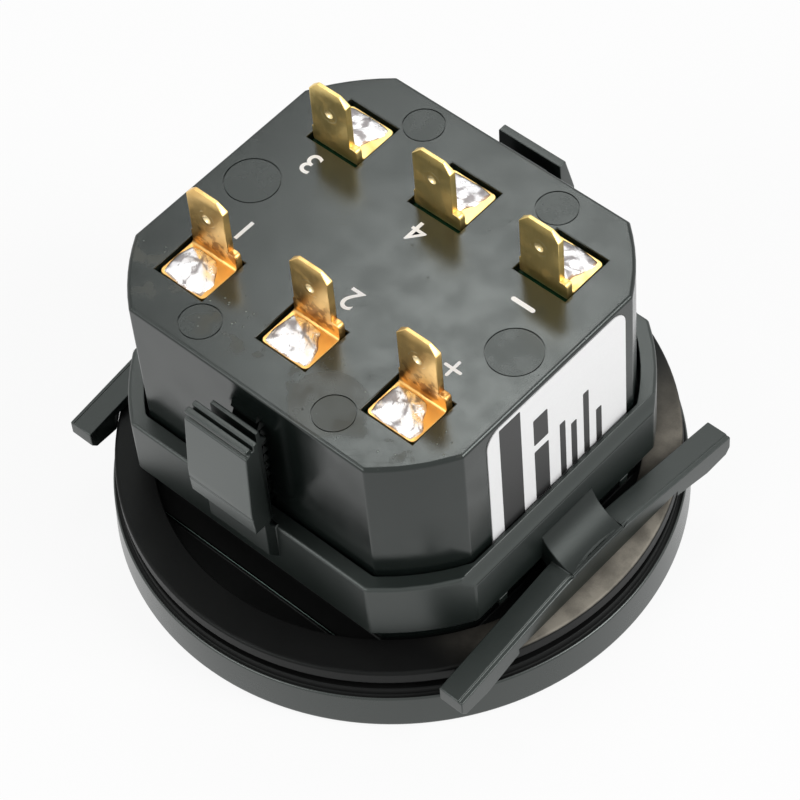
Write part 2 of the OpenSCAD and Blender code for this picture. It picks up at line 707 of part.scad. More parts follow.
// One latch, drawn on the +Y side: pawl, stem, and a finger pad hollow on its inside.
// The head of one latch is thick and has a trough. The head of the other is a single plate.
module latch(troughed) {
    pawl_in = body_y + 1.2;
    stem_in = collar_y + 0.55;
    stem_out = stem_in + 0.7;
    pad_top = stem_in + 1.6;
    pad_face = stem_in + 2.25;
    plate_out = stem_out + 0.25;
    pad_z = rim_z + pad_lift;
    tip = rack_y + pawl_gap;
    pawl_top = latch_z - 0.6;
    half = latch_half;
    // Pawl, which stands on the rim and points its tooth at the rack
    across_x(-rack_half - 1, rack_half + 1) polygon([
        [pawl_in, rim_z - 0.5], [pawl_in + 0.6, rim_z - 0.5], [pawl_in + 0.6, pawl_top],
        [pawl_in + 0.1, pawl_top], [pawl_in, pawl_top - 0.9], [tip, pawl_top - 1.7],
        [tip, pawl_top - 1.9], [pawl_in, pawl_top - 2.2]]);
    // Web between pawl and stem
    translate([-rack_half, pawl_in + 0.5, rim_z + 6]) cube([2 * rack_half, stem_in - pawl_in - 0.4, 1.2]);
    intersection() {
        across_y(0, pad_face + over) polygon([[-half, latch_z + over], [half, latch_z + over], [half, latch_z],
            [half + pad_flare, pad_z], [half, pad_z - 0.1], [half, collar_z], [-half, collar_z],
            [-half, pad_z - 0.1], [-half - pad_flare, pad_z], [-half, latch_z]]);
        difference() {
            across_x(-half - 1, half + 1) polygon([
                [collar_y - 0.3, rim_z - 5], [collar_y, rim_z - 5], [stem_out, rim_z - 3.4], [stem_out, pad_z],
                [pad_face - 0.15, pad_z], [pad_face - 0.02, pad_z + 2.05], [pad_face - 0.12, pad_z + 2.2],
                [pad_face, pad_z + 2.35], [pad_face, pad_z + 3.4], [pad_top + 0.15, latch_z - 0.75],
                [pad_top - 0.2, latch_z - 0.55], [pad_top, latch_z - 0.4], [pad_top, latch_z],
                [stem_in, latch_z], [stem_in, rim_z + 0.9], [collar_y - 0.3, rim_z]]);
            // Hollow behind the pad, open below
            across_x(-half + 0.7, half - 0.7) polygon([
                [stem_out, pad_z - over], [pad_face - 0.85, pad_z - over], [pad_face - 0.75, pad_z + 3.4],
                [pad_top - 0.65, latch_z - 2.4], [stem_out, latch_z - 2.4]]);
            if (troughed)
                translate([-half + 0.55, stem_in + 0.5, latch_z - 1.1]) cube([2 * half - 1.1, 0.6, 2]);
            else
                across_x(-half - 1, half + 1) polygon([
                    [plate_out, latch_z + over], [plate_out, latch_z - 0.2], [pad_face + 0.1, latch_z - 6],
                    [pad_face + 1, latch_z - 6], [pad_face + 1, latch_z + over]]);
        }
    }
}

// The clip is one moulding: collar, two latches and two bowed arms
module retaining_clip() {
    color(satin_black) {
        collar();
        both_x() arm();
        latch(false);
        mirror([0, 1, 0]) latch(true);
    }
}

rear_housing();
bezel_ring();
lens();
lens_seal();
dial_plate();
lcd_glass();
lcd_frame();
light_guide();
zebra_upper();
zebra_lower();
main_board();
processor();
memory_chip();
crystal();
voltage_regulator();
capacitor();
backlight_leds();
header_socket();
pin_header();
terminal_board();
surge_varistor();
board_screws();
terminal_1();
terminal_2();
terminal_3();
terminal_4();
terminal_5();
terminal_6();
solder_joints();
rating_label();
retaining_clip();
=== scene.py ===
import math
import random

import bmesh
import bpy
from mathutils import Matrix, Vector, noise


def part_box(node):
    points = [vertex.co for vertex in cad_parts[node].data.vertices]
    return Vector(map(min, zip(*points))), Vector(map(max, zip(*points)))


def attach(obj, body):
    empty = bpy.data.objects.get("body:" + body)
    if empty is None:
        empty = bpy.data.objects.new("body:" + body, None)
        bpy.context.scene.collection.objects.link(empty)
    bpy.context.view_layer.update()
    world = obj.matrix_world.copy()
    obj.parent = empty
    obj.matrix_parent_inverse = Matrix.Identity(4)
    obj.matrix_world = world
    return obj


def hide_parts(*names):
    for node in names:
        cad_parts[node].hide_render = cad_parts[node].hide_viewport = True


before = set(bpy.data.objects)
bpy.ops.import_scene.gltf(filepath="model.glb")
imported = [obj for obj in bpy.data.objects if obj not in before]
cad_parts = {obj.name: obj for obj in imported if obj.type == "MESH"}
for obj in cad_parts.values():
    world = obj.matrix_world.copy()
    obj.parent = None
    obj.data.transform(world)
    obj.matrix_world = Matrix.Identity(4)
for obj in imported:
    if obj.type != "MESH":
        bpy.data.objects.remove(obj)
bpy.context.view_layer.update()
MM = 0.001


# %% [markdown]
# ## The camera
# A long lens from about 31 cm away keeps the rows of blades nearly parallel. The camera is aimed
# at one point of the case by two angles and a small roll, so that it can be read and changed,
# which a matrix of numbers can't.
# %% Camera
AIM = Vector((4.0, -3.04, 20.0)) * MM
DISTANCE = 312.25 * MM
HEADING = math.radians(136.37)
DOWNWARD = math.radians(52.56)
ROLL = math.radians(5.716)
SENSOR_W = 36
FOCAL_LENGTH = 146.57


def placed(name, data):
    """A new object in the scene that shows a mesh, a lamp, a text or a camera."""
    made = bpy.data.objects.new(name, data)
    bpy.context.scene.collection.objects.link(made)
    return made


def aimed_camera(aim, distance, heading, downward, roll):
    """A camera that looks at a point from a distance, turned round its own axis by roll."""
    ahead = Vector((math.cos(downward) * math.cos(heading), math.cos(downward) * math.sin(heading),
                    -math.sin(downward)))
    level = ahead.cross(Vector((0, 0, 1))).normalized()
    upright = level.cross(ahead)
    right = math.cos(roll) * level - math.sin(roll) * upright
    top = math.sin(roll) * level + math.cos(roll) * upright
    made = placed("camera", bpy.data.cameras.new("camera"))
    made.matrix_world = Matrix((right, top, -ahead)).transposed().to_4x4()
    made.location = aim - distance * ahead
    return made


camera = aimed_camera(AIM, DISTANCE, HEADING, DOWNWARD, ROLL)
camera.data.sensor_width = SENSOR_W
camera.data.lens = FOCAL_LENGTH
camera.data.clip_start = 10 * MM
bpy.context.scene.camera = camera
print("camera at", [round(v / MM, 1) for v in camera.location], "mm")


# %% [markdown]
# ## Sizes
# The frame gives the places. What a box can't tell, such as where the flats cut the round of the
# case, is named here once, in millimetres.
# %% Sizes from the frame
def box_mm(node):
    """Lowest and highest corner of a frame piece, in millimetres."""
    low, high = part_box(node)
    return low / MM, high / MM


body_x = box_mm("rating_label")[0].x
body_y = 18.7
corner_cut = 4.06
body_r = math.hypot(body_x, body_y) - corner_cut
rear_z = box_mm("rear_housing")[1].z
rear_wall = 1.2
inner_z = rear_z - rear_wall
flange_r = box_mm("rear_housing")[1].x
bezel_r, bezel_z = box_mm("bezel_ring")[1].xz
groove_z = bezel_z + 1.05
flange_z = groove_z + 1.6
print(f"body {2 * body_x:.2f} x {2 * body_y:.2f}, round {body_r:.2f}, rear face at {rear_z:.2f} mm")


# %% Places of marks and blades
boss_x = body_x - 4.15
boss_r = 2.85
bosses = (-boss_x, boss_x)
stake_x = 8.4
stake_y = body_y - 3.1
stake_mark_r = 2.15
stakes = [(x, y) for x in (-stake_x, stake_x) for y in (-stake_y, stake_y)]
blade_nodes = [f"terminal_{i}" for i in range(1, 7)]
blade_boxes = [box_mm(node) for node in blade_nodes]
# each place is (middle x, y of the outside of the bend, 1 or -1 for the row)
blade_places = [((low.x + high.x) / 2, low.y if low.y > 0 else high.y, math.copysign(1, low.y))
                for low, high in blade_boxes]
blade_pitch = blade_boxes[1][0].x - blade_boxes[0][0].x
blade_shift = -0.35
shoulder_z = rear_z + 1.4
dimple_z = shoulder_z + 3.15
print(f"blades {blade_pitch:.2f} mm apart, dimples at {dimple_z:.2f} mm")


# %% [markdown]
# ## Arithmetic on sockets
# A finish is easier to read as a sum than as a drawing of boxes and wires. `Wire` stands for one
# output of a node. Adding, subtracting or multiplying wires adds the Math node that does it.
# `Net` is any node tree: its `node` method makes a node from its type, its settings and what
# goes into its sockets. `Paint` is the net of one finish.
# %% Wires
class Wire:
    """One output of a node. Arithmetic on it adds Math nodes."""

    def __init__(self, net, socket):
        self.net = net
        self.socket = socket

    def __add__(self, other):
        return self.net.math("ADD", self, other)

    def __radd__(self, other):
        return self.net.math("ADD", other, self)

    def __sub__(self, other):
        return self.net.math("SUBTRACT", self, other)

    def __rsub__(self, other):
        return self.net.math("SUBTRACT", other, self)

    def __mul__(self, other):
        return self.net.math("MULTIPLY", self, other)

    def __rmul__(self, other):
        return self.net.math("MULTIPLY", other, self)

    def size(self):
        """The value without its sign."""
        return self.net.math("ABSOLUTE", self, 0)

    def repeated(self, step):
        """The value, counted from the nearest multiple of a step."""
        return self.net.node("ShaderNodeMath", {"operation": "WRAP"},
                             {0: self, 1: step / 2, 2: -step / 2})

    def rise(self, start, end):
        """0 before start and 1 after end, with a smooth step between. It falls if start is larger."""
        return self.net.node("ShaderNodeMapRange", {"interpolation_type": "SMOOTHSTEP"},
                             {"Value": self, "From Min": start, "From Max": end})


def span(x, y):
    """The distance from the middle, from two offsets."""
    return x.net.math("POWER", x * x + y * y, 0.5)


# %% Nets
class Net:
    """A node tree, emptied and ready to be filled."""

    def __init__(self, tree):
        self.tree = tree
        tree.nodes.clear()

    def put(self, node, sockets):
        """Sets or links a node's sockets."""
        for key, value in sockets.items():
            if isinstance(value, Wire):
                self.tree.links.new(value.socket, node.inputs[key])
            else:
                node.inputs[key].default_value = value

    def node(self, kind, settings, sockets, out=0):
        """Any node: its type, its settings, what goes into its sockets, and which output is wanted."""
        made = self.tree.nodes.new(kind)
        for key, value in settings.items():
            setattr(made, key, value)
        self.put(made, sockets)
        return Wire(self, made.outputs[out])

    def end(self, kind, sockets):
        """The last node of the tree."""
        self.put(self.tree.nodes.new(kind), sockets)

    def math(self, operation, first, second):
        return self.node("ShaderNodeMath", {"operation": operation}, {0: first, 1: second})


# %% Paint
class Paint(Net):
    """A finish with one Principled shader. place is the surface's own position in millimetres."""

    def __init__(self, name, fixed):
        self.material = bpy.data.materials.new(name)
        self.material.use_nodes = True
        super().__init__(self.material.node_tree)
        self.fixed = fixed
        here = self.node("ShaderNodeTexCoord", {}, {}, "Object")
        self.place = self.node("ShaderNodeVectorMath", {"operation": "SCALE"},
                               {"Vector": here, "Scale": 1 / MM})

    def mix(self, factor, first, second):
        """A colour between two colours."""
        return self.node("ShaderNodeMix", {"data_type": "RGBA"}, {0: factor, 6: first, 7: second}, 2)

    def layered(self, colour, *layers):
        """A colour with further colours over it. Each layer is (how much of it shows, its colour)."""
        for share, over in layers:
            colour = self.mix(share, colour, over)
        return colour

    def stretched(self, stretch, turn):
        """The position, turned about Z and then stretched along each axis."""
        aligned = self.node("ShaderNodeVectorRotate", {"rotation_type": "Z_AXIS"},
                            {"Vector": self.place, "Angle": turn})
        return self.node("ShaderNodeVectorMath", {"operation": "MULTIPLY"}, {0: aligned, 1: stretch})

    def noise(self, scale, detail=2.0, stretch=None, turn=0.0):
        """Soft noise with features about 1 / scale millimetres wide."""
        place = self.place if stretch is None else self.stretched(stretch, turn)
        return self.node("ShaderNodeTexNoise", {}, {"Vector": place, "Scale": scale, "Detail": detail})

    def cells(self, scale, out="Distance"):
        """Voronoi cells about 1 / scale millimetres wide."""
        return self.node("ShaderNodeTexVoronoi", {}, {"Vector": self.place, "Scale": scale}, out)

    def field(self, name):
        """A value that the mesh carries at its points."""
        return self.node("ShaderNodeAttribute", {"attribute_name": name}, {}, "Fac")

    def axis(self, name):
        """The position along one axis, in millimetres."""
        return self.node("ShaderNodeSeparateXYZ", {}, {"Vector": self.place}, name)

    def done(self, colour, rough, relief, depth, metallic=None):
        """Feeds the shader what varies, relief as a bump of depth millimetres, and returns the material."""
        bump = self.node("ShaderNodeBump", {}, {"Height": relief, "Distance": depth * MM, "Strength": 1.0})
        varying = {"Base Color": colour, "Roughness": rough, "Normal": bump}
        if metallic is not None:
            varying["Metallic"] = metallic
        shader = self.node("ShaderNodeBsdfPrincipled", {}, {**self.fixed, **varying})
        self.end("ShaderNodeOutputMaterial", {"Surface": shader})
        return self.material


def grey(value):
    return (value, value, value, 1)


print("paint tools are ready")


# %% [markdown]
# ## Black plastic
# Case, bezel and clip are injection mouldings in black plastic. Their tools were polished, so the
# surface is satin: a fine grain in the relief, patches that shine a little more where the melt
# ran, and hairline scratches from handling. One function makes them all, because only the shine,
# the grain and the scratches differ. The pads of the latches get a lighter copy, with scratches of
# wear from fingers and a lighter grey as painted sheen. The hollow saddles get a darker, duller copy
# as painted shade, and one rounded edge of the case gets a pale grey copy as a painted glint.
# %% Hairline scratches
def scratches(paint, turn, density, spread=0.004):
    """Thin, long, nearly straight lines. A stretched noise is near its middle value only along them."""
    lines = paint.noise(density, 0.0, (1.0, 0.018, 1.0), turn)
    broken = paint.noise(0.14, 2.0).rise(0.54, 0.64)
    return (lines - 0.5).size().rise(spread, 0.0) * broken


# %% Moulded plastic
COOL_GLEAM = (0.93, 1.0, 0.965, 1)


def plastic(name, gleam):
    """The start of a plastic finish. gleam is the level of its reflection."""
    return Paint(name, {"IOR": 1.5, "Specular IOR Level": gleam, "Specular Tint": COOL_GLEAM})


def moulded_plastic(name, tone, shine, grain, scratched, gleam=0.6):
    """Black plastic. tone is its grey, shine its roughness, grain the depth of its relief in mm."""
    paint = plastic(name, gleam)
    patches = paint.noise(0.11, 3.0)
    specks = paint.noise(7.0, 2.0)
    lines = scratched * (scratches(paint, 0.6, 1.1) + scratches(paint, 2.1, 0.8))
    colour = paint.mix(patches, (tone * 0.6, tone * 0.9, tone * 0.8, 1), (tone, tone * 1.4, tone * 1.25, 1))
    colour = paint.mix(lines * 0.35, colour, grey(tone * 4))
    rough = shine + 0.10 * (patches - 0.5) + 0.06 * (specks - 0.5) + 0.16 * lines
    relief = 0.6 * specks + 0.4 * paint.noise(22.0, 2.0) - 0.5 * lines
    return paint.done(colour, rough, relief, grain)


clip_plastic = moulded_plastic("clip_plastic", 0.009, 0.36, 0.006, 0.5, 0.7)
bezel_plastic = moulded_plastic("bezel_plastic", 0.007, 0.28, 0.003, 0.3, 0.75)
# A darker, duller copy of the clip's plastic, as painted shade in the saddles' hollows.
shaded_saddle_plastic = moulded_plastic("shaded_saddle_plastic", 0.007, 0.42, 0.006, 0.3, 0.35)
# A lighter copy for the pads: more scratches from wear, and a lighter grey as painted sheen.
pad_wear_and_sheen_plastic = moulded_plastic("pad_wear_and_sheen_plastic", 0.018, 0.30, 0.004, 0.8, 1.0)
# A pale grey copy, as a painted glint on one rounded edge of the case.
edge_glint_plastic = moulded_plastic("edge_glint_plastic", 0.24, 0.30, 0.002, 0.0, 1.0)
socket_plastic = moulded_plastic("socket_plastic", 0.020, 0.45, 0.006, 0.0)
print("plastics:", clip_plastic.name, bezel_plastic.name, socket_plastic.name)


# %% [markdown]
# ## The case's own black
# The rear face has more to show than the clip. Soldering left dull smears, a dried pool and tiny
# beads of flux round the lower row of windows, and the disc of each ejector mark is a little
# duller than the face round it. These fields are placed by position, so they stay on the face
# and off the walls.
# %% Case plastic
FLUX_ROW = -14.0
FLUX_POOL = (7.2, -15.2)
FLUX_POOL_R = 4.0


def inside_marks(x, y):
    """1 inside the round marks of the rear face, which shine less, and 0 outside."""
    stake = span(x.size() - stake_x, y.size() - stake_y).rise(stake_mark_r - 0.03, stake_mark_r - 0.15)
    boss = span(x.size() - boss_x, y).rise(boss_r - 0.04, boss_r - 0.17)
    return x.net.math("MAXIMUM", stake, boss)


def case_finish():
    paint = plastic("case_plastic", 0.5)
    x, y = paint.axis("X"), paint.axis("Y")
    on_face = paint.axis("Z").rise(rear_z - 0.2, rear_z - 0.05)
    near_row = (y - FLUX_ROW).size().rise(4.5, 0.5) * on_face
    patches = paint.noise(0.09, 4.0)
    cloud = paint.noise(0.35, 4.0)
    specks = paint.noise(8.0, 2.0)
    smear = cloud.rise(0.52, 0.66) * near_row
    spilt = span(x - FLUX_POOL[0], y - FLUX_POOL[1]) + 1.2 * (cloud - 0.5)
    pool = spilt.rise(FLUX_POOL_R, FLUX_POOL_R - 0.5) * on_face
    beads = paint.cells(1.3).rise(0.17, 0.08) * paint.noise(0.3, 1.0).rise(0.48, 0.56) * near_row
    dust = paint.cells(0.42).rise(0.055, 0.03) * on_face
    lines = scratches(paint, 0.9, 0.7, 0.003) * on_face
    colour = paint.mix(patches, (0.0056, 0.008, 0.0072, 1), (0.008, 0.0112, 0.010, 1))
    colour = paint.layered(colour, (smear * 0.6, (0.046, 0.044, 0.034, 1)),
                           (pool * (0.25 + 0.6 * cloud), (0.036, 0.034, 0.027, 1)),
                           (lines * 0.25, grey(0.05)), (dust * 0.6, grey(0.003)),
                           (beads * 0.7, (0.22, 0.25, 0.22, 1)))
    rough = 0.21 + 0.12 * (patches - 0.5) + 0.06 * (cloud.rise(0.3, 0.7) - 0.5) + 0.06 * (specks - 0.5)
    rough = rough + 0.12 * smear + 0.07 * inside_marks(x, y) * on_face + 0.06 * pool
    relief = 0.25 * specks + 0.25 * patches + 0.5 * beads - 0.12 * lines - 0.5 * dust
    return paint.done(colour, rough, relief, 0.02)


case_plastic = case_finish()
print("case plastic has", len(case_plastic.node_tree.nodes), "nodes")


# %% [markdown]
# ## The back of the flange
# The flange was moulded against a duller part of the tool, so it hardly shines. On the side of
# the label it is painted beige in clouds: partly a film of dust, partly a painted warm sheen. The
# beige is strongest towards the rim and fades inwards and towards -Y as painted shade from the arm.
# %% Flange plastic
def flange_finish():
    paint = plastic("flange_plastic", 0.12)
    x, y = paint.axis("X"), paint.axis("Y")
    on_top = paint.axis("Z").rise(flange_z - 0.2, flange_z - 0.02)
    # Painted light: the beige layer (dust) is partly a film of dust and partly a painted warm sheen, and it
    # fades inwards and towards -Y as painted shade from the arm.
    dust_and_sheen_place = x.rise(13.0, 27.0) * y.rise(-18.0, -6.0) * span(x, y).rise(22.0, 27.0)
    clouds = paint.noise(0.3, 3.0)
    specks = paint.noise(6.0, 3.0)
    dust = on_top * dust_and_sheen_place * (0.5 + clouds.rise(0.2, 0.9)) * (0.8 + 0.4 * specks)
    colour = paint.mix(clouds, grey(0.004), grey(0.007))
    colour = paint.mix(dust, colour, (0.29, 0.265, 0.222, 1))
    return paint.done(colour, 0.42 + 0.2 * dust + 0.06 * (specks - 0.5), specks, 0.008)


flange_plastic = flange_finish()
print("flange plastic has", len(flange_plastic.node_tree.nodes), "nodes")


# %% [markdown]
# ## Metals
# The blades are stamped from rolled brass. The sheet keeps the fine lines of the rolls, it is
# more orange towards its bend and on the near row, and flux has burnt on there in brown stains.
# Each dimple carries a painted highlight, with a scarred ring round it. Solder is a bright skin
# that froze in the pattern of its crystals. The mesh of a mound says where the skin is grey,
# partly crumpled and partly painted shade on two facets and along its valleys and creases, and
# where flux burnt brown at its rim.
# %% Brass
BEND_Z = 34.4


def rolled_brass():
    paint = Paint("brass_sheet", {"Metallic": 1.0})
    height = paint.axis("Z")
    off_dimple = span((paint.axis("X") - blade_shift).repeated(blade_pitch), height - dimple_z)
    # A painted highlight: the dimple is painted pale where light would glint in its hollow.
    dimple_highlight = off_dimple.rise(0.62, 0.5)
    wobble = 0.3 * (paint.noise(0.8, 1.0) - 0.5)
    ring = (off_dimple + wobble - 1.0).size().rise(0.09, 0.03) * paint.noise(0.9, 2.0).rise(0.45, 0.6)
    # The near row is more orange, and more so towards the bend.
    near_side = paint.axis("Y").rise(2.0, -2.0)
    streaks = paint.noise(5.0, 3.0, (1.0, 1.0, 0.12))
    stains = paint.noise(0.7, 4.0)
    tarnish = stains.rise(0.45, 0.7)
    orange_near_bend = height.rise(BEND_Z + 5.0, BEND_Z) * (0.25 + 0.75 * near_side)
    burnt = paint.noise(1.1, 4.0).rise(0.46, 0.58) * near_side
    burnt = burnt * height.rise(BEND_Z + 4.4, BEND_Z + 1.4) * height.rise(BEND_Z + 0.1, BEND_Z + 0.6)
    colour = paint.mix(streaks, (0.84, 0.62, 0.21, 1), (0.92, 0.72, 0.30, 1))
    colour = paint.layered(colour, (near_side * 0.6, (0.88, 0.54, 0.20, 1)),
                           (orange_near_bend * 0.7, (0.74, 0.40, 0.11, 1)), (tarnish * 0.3, (0.60, 0.36, 0.10, 1)),
                           (burnt * 0.75, (0.24, 0.09, 0.02, 1)),
                           (dimple_highlight * 0.6 + ring * 0.4, (1.0, 0.90, 0.60, 1)))
    lines = scratches(paint, 0.8, 1.6, 0.01)
    relief = 0.7 * streaks + 0.3 * paint.noise(9.0, 2.0) + 0.6 * lines - 1.5 * ring
    return paint.done(colour, 0.24 + 0.16 * streaks + 0.12 * tarnish, relief, 0.008, 1.0 - 0.12 * stains)


brass_sheet = rolled_brass()
print("brass has", len(brass_sheet.node_tree.nodes), "nodes")


# %% Solder
def frozen_solder():
    """Bright where smooth, grey where the skin crumpled and where shade is painted, and brown where burnt.
    """
    paint = Paint("solder_skin", {"Metallic": 1.0})
    facets = paint.node("ShaderNodeSeparateColor", {}, {"Color": paint.cells(2.2, "Color")}, "Red")
    grain = paint.noise(5.0, 3.0)
    # The greyness field carries crumpled skin and painted shade alike.
    dark = (paint.field("crumple_and_shade") + 0.5 * (grain - 0.5)).rise(0.25, 0.95)
    flux = (paint.field("burnt") + 0.6 * (grain - 0.5)).rise(0.25, 0.6)
    colour = paint.mix(grain, (0.90, 0.88, 0.88, 1), (0.97, 0.97, 0.98, 1))
    colour = paint.layered(colour, (dark * 0.85, (0.22, 0.20, 0.20, 1)),
                           (flux * 0.75, (0.26, 0.15, 0.07, 1)))
    return paint.done(colour, 0.24 + 0.14 * facets + 0.2 * dark, 0.7 * facets + grain, 0.05)


solder_skin = frozen_solder()
print("solder has", len(solder_skin.node_tree.nodes), "nodes")


# %% [markdown]
# ## What lies inside and in front
# These finishes show in the windows and through the lens. Each takes its colour from the real
# material: green lacquer over copper, black epoxy, white resin, conductive rubber, bare metal
# and acrylic.
# %% Plain finishes with a grain
def grained(name, light, dark, rough, grain, scale, fixed=None, spread=0.1):
    """A finish that varies between two colours at a scale, with a relief of grain millimetres."""
    paint = Paint(name, fixed or {})
    field = paint.noise(scale, 3.0)
    return paint.done(paint.mix(field, dark, light), rough + spread * (field - 0.5), field, grain)


METAL = {"Metallic": 1.0}
plain = {
    "crystal_can": (grey(0.75), grey(0.60), 0.28, 0.004, 4.0, METAL, 0.15),
    "screw_zinc": ((0.70, 0.70, 0.72, 1), grey(0.50), 0.25, 0.004, 4.0, METAL, 0.15),
    "capacitor_aluminium": (grey(0.82), grey(0.70), 0.30, 0.003, 4.0, METAL, 0.15),
    "green_lacquer": ((0.030, 0.16, 0.075, 1), (0.016, 0.10, 0.045, 1), 0.32, 0.01, 1.4,
                      {"Coat Weight": 0.4, "Coat Roughness": 0.12}),
    "chip_epoxy": (grey(0.030), grey(0.016), 0.55, 0.012, 9.0),
    "white_resin": (grey(0.72), grey(0.64), 0.45, 0.004, 1.5),
    "milky_acrylic": ((0.80, 0.82, 0.78, 1), grey(0.72), 0.35, 0.002, 1.0,
                      {"Subsurface Weight": 0.2, "Subsurface Scale": 0.002}),
    "striped_rubber": (grey(0.11), grey(0.05), 0.62, 0.01, 5.0),
    "black_rubber": (grey(0.030), grey(0.020), 0.7, 0.012, 6.0),
    "blue_epoxy": ((0.02, 0.09, 0.34, 1), (0.015, 0.06, 0.24, 1), 0.4, 0.02, 2.0),
    "lamp_epoxy": ((0.85, 0.80, 0.50, 1), (0.78, 0.70, 0.36, 1), 0.3, 0.004, 2.0),
    "display_glass": ((0.20, 0.24, 0.17, 1), (0.17, 0.21, 0.15, 1), 0.10, 0.0006, 0.5,
                      {"Coat Weight": 0.6, "Coat Roughness": 0.04}),
    "segment_film": ((0.115, 0.140, 0.100, 1), (0.100, 0.120, 0.085, 1), 0.3, 0.001, 3.0),
    "clear_acrylic": (grey(0.97), grey(0.95), 0.06, 0.0004, 0.4, {"Transmission Weight": 1.0, "IOR": 1.49}),
    "label_vinyl": (grey(0.84), grey(0.79), 0.38, 0.004, 3.0),
    "label_print": (grey(0.022), grey(0.014), 0.42, 0.003, 5.0),
    "pad_print": (grey(0.96), grey(0.86), 0.5, 0.006, 6.0),
}
finish = {name: grained(name, *values) for name, values in plain.items()}
print("plain finishes:", len(finish))


# %% Dial paint
VIEW_HALF = (15.0, 6.2)
FRAME_LINE = 1.0
TICK_R = 22.3
TICKS = 60


def dial_finish():
    """Black paint, with a fine pale line round the display and a ring of short marks near its rim."""
    paint = Paint("dial_paint", {"Specular IOR Level": 0.15})
    x, y = paint.axis("X"), paint.axis("Y")
    radius = span(x, y)
    beyond = paint.math("MAXIMUM", x.size() - VIEW_HALF[0], y.size() - VIEW_HALF[1])
    frame_line = (beyond - FRAME_LINE).size().rise(0.20, 0.14)
    beside = paint.math("ARCTAN2", y, x).repeated(math.tau / TICKS).size() * radius
    ticks = beside.rise(0.20, 0.14) * (radius - TICK_R).size().rise(0.85, 0.78)
    grain = paint.noise(6.0, 3.0)
    colour = paint.mix(grain, grey(0.013), grey(0.020))
    colour = paint.mix(paint.math("MAXIMUM", frame_line, ticks), colour, grey(0.62))
    return paint.done(colour, 0.42 + 0.1 * (grain - 0.5), grain, 0.006)


finish["dial_paint"] = dial_finish()
finish["socket_plastic"] = socket_plastic
print("materials so far:", len(bpy.data.materials))


# %% [markdown]
# ## Tools for making shapes
# Mouldings and stampings are outlines given depth, so three tools do most of the work: a skin
# over a row of rings, a lathe, and a prism. Shapes are drawn in millimetres, joined and cut as
# closed solids, and their edges are rounded last, as a moulder's tool rounds them. Only the
# finished piece is turned into metres.
# %% Arcs and skins
def arc(x, y, radius, start, end, steps):
    """Points of an arc round (x, y), both ends included. Angles are in degrees."""
    turns = [math.radians(start + (end - start) * i / steps) for i in range(steps + 1)]
    return [(x + radius * math.cos(t), y + radius * math.sin(t)) for t in turns]


def face_out(shape):
    """Merges doubled points and turns every face outwards."""
    mesh = bmesh.new()
    mesh.from_mesh(shape.data)
    bmesh.ops.remove_doubles(mesh, verts=mesh.verts, dist=0.0005)
    bmesh.ops.recalc_face_normals(mesh, faces=mesh.faces)
    mesh.to_mesh(shape.data)
    mesh.free()
    return shape


def skin(rings, closed=False):
    """A closed skin over rings of equally many points. closed joins the last ring to the first."""
    size = len(rings[0])
    count = len(rings)
    faces = []
    for i in range(count if closed else count - 1):
        low, high = i * size, (i + 1) % count * size
        faces += [(low + j, low + (j + 1) % size, high + (j + 1) % size, high + j) for j in range(size)]
    if not closed:
        faces += [tuple(range(size)), tuple(range((count - 1) * size, count * size))]
    mesh = bpy.data.meshes.new("shape")
    mesh.from_pydata([point for ring in rings for point in ring], [], faces)
    return face_out(placed("shape", mesh))


def moved(shape, x, y, z=0, turn=0):
    """Turns a shape about Z and then moves it."""
    shape.data.transform(Matrix.Translation((x, y, z)) @ Matrix.Rotation(turn, 4, "Z"))
    return shape


# %% Lathe and prism
def turned(profile, steps, closed=False):
    """A lathe shape from (radius, height) pairs. A closed profile makes a ring with a hole."""
    ways = [(math.cos(math.tau * i / steps), math.sin(math.tau * i / steps)) for i in range(steps)]
    return skin([[(r * x, r * y, z) for x, y in ways] for r, z in profile], closed)


def cylinder(x, y, radius, low, high, top=None, steps=32):
    """A round bar or cone at (x, y), for cutting and joining."""
    return moved(turned([(radius, low), (radius if top is None else top, high)], steps), x, y)


def prism(outline, axis, low, high):
    """An outline made solid along an axis: (y, z) along X, (x, z) along Y and (x, y) along Z."""
    places = {"X": lambda a, b, c: (c, a, b), "Y": lambda a, b, c: (a, c, b), "Z": lambda a, b, c: (a, b, c)}
    return skin([[places[axis](a, b, c) for a, b in outline] for c in (low, high)])


def block(low, high):
    """A cuboid between two corners, for cutting and joining."""
    outline = [(low[0], low[1]), (high[0], low[1]), (high[0], high[1]), (low[0], high[1])]
    return prism(outline, "Z", low[2], high[2])


# %% Joining, cutting and rounding
def evaluated(shape):
    """The mesh of an object, with its modifiers and its text or curve turned into faces."""
    graph = bpy.context.evaluated_depsgraph_get()
    return bpy.data.meshes.new_from_object(shape.evaluated_get(graph))


def settle(shape):
    """Makes a shape's modifiers part of its mesh."""
    finished = evaluated(shape)
    shape.modifiers.clear()
    shape.data = finished
    return shape


def combine(shape, operation, tools):
    """Joins other solids to a shape (UNION), cuts them from it (DIFFERENCE) or keeps what they share."""
    for tool in tools:
        step = shape.modifiers.new("combine", "BOOLEAN")
        step.operation = operation
        step.solver = "EXACT"
        step.object = tool
    settle(shape)
    for tool in tools:
        bpy.data.objects.remove(tool)
    return shape


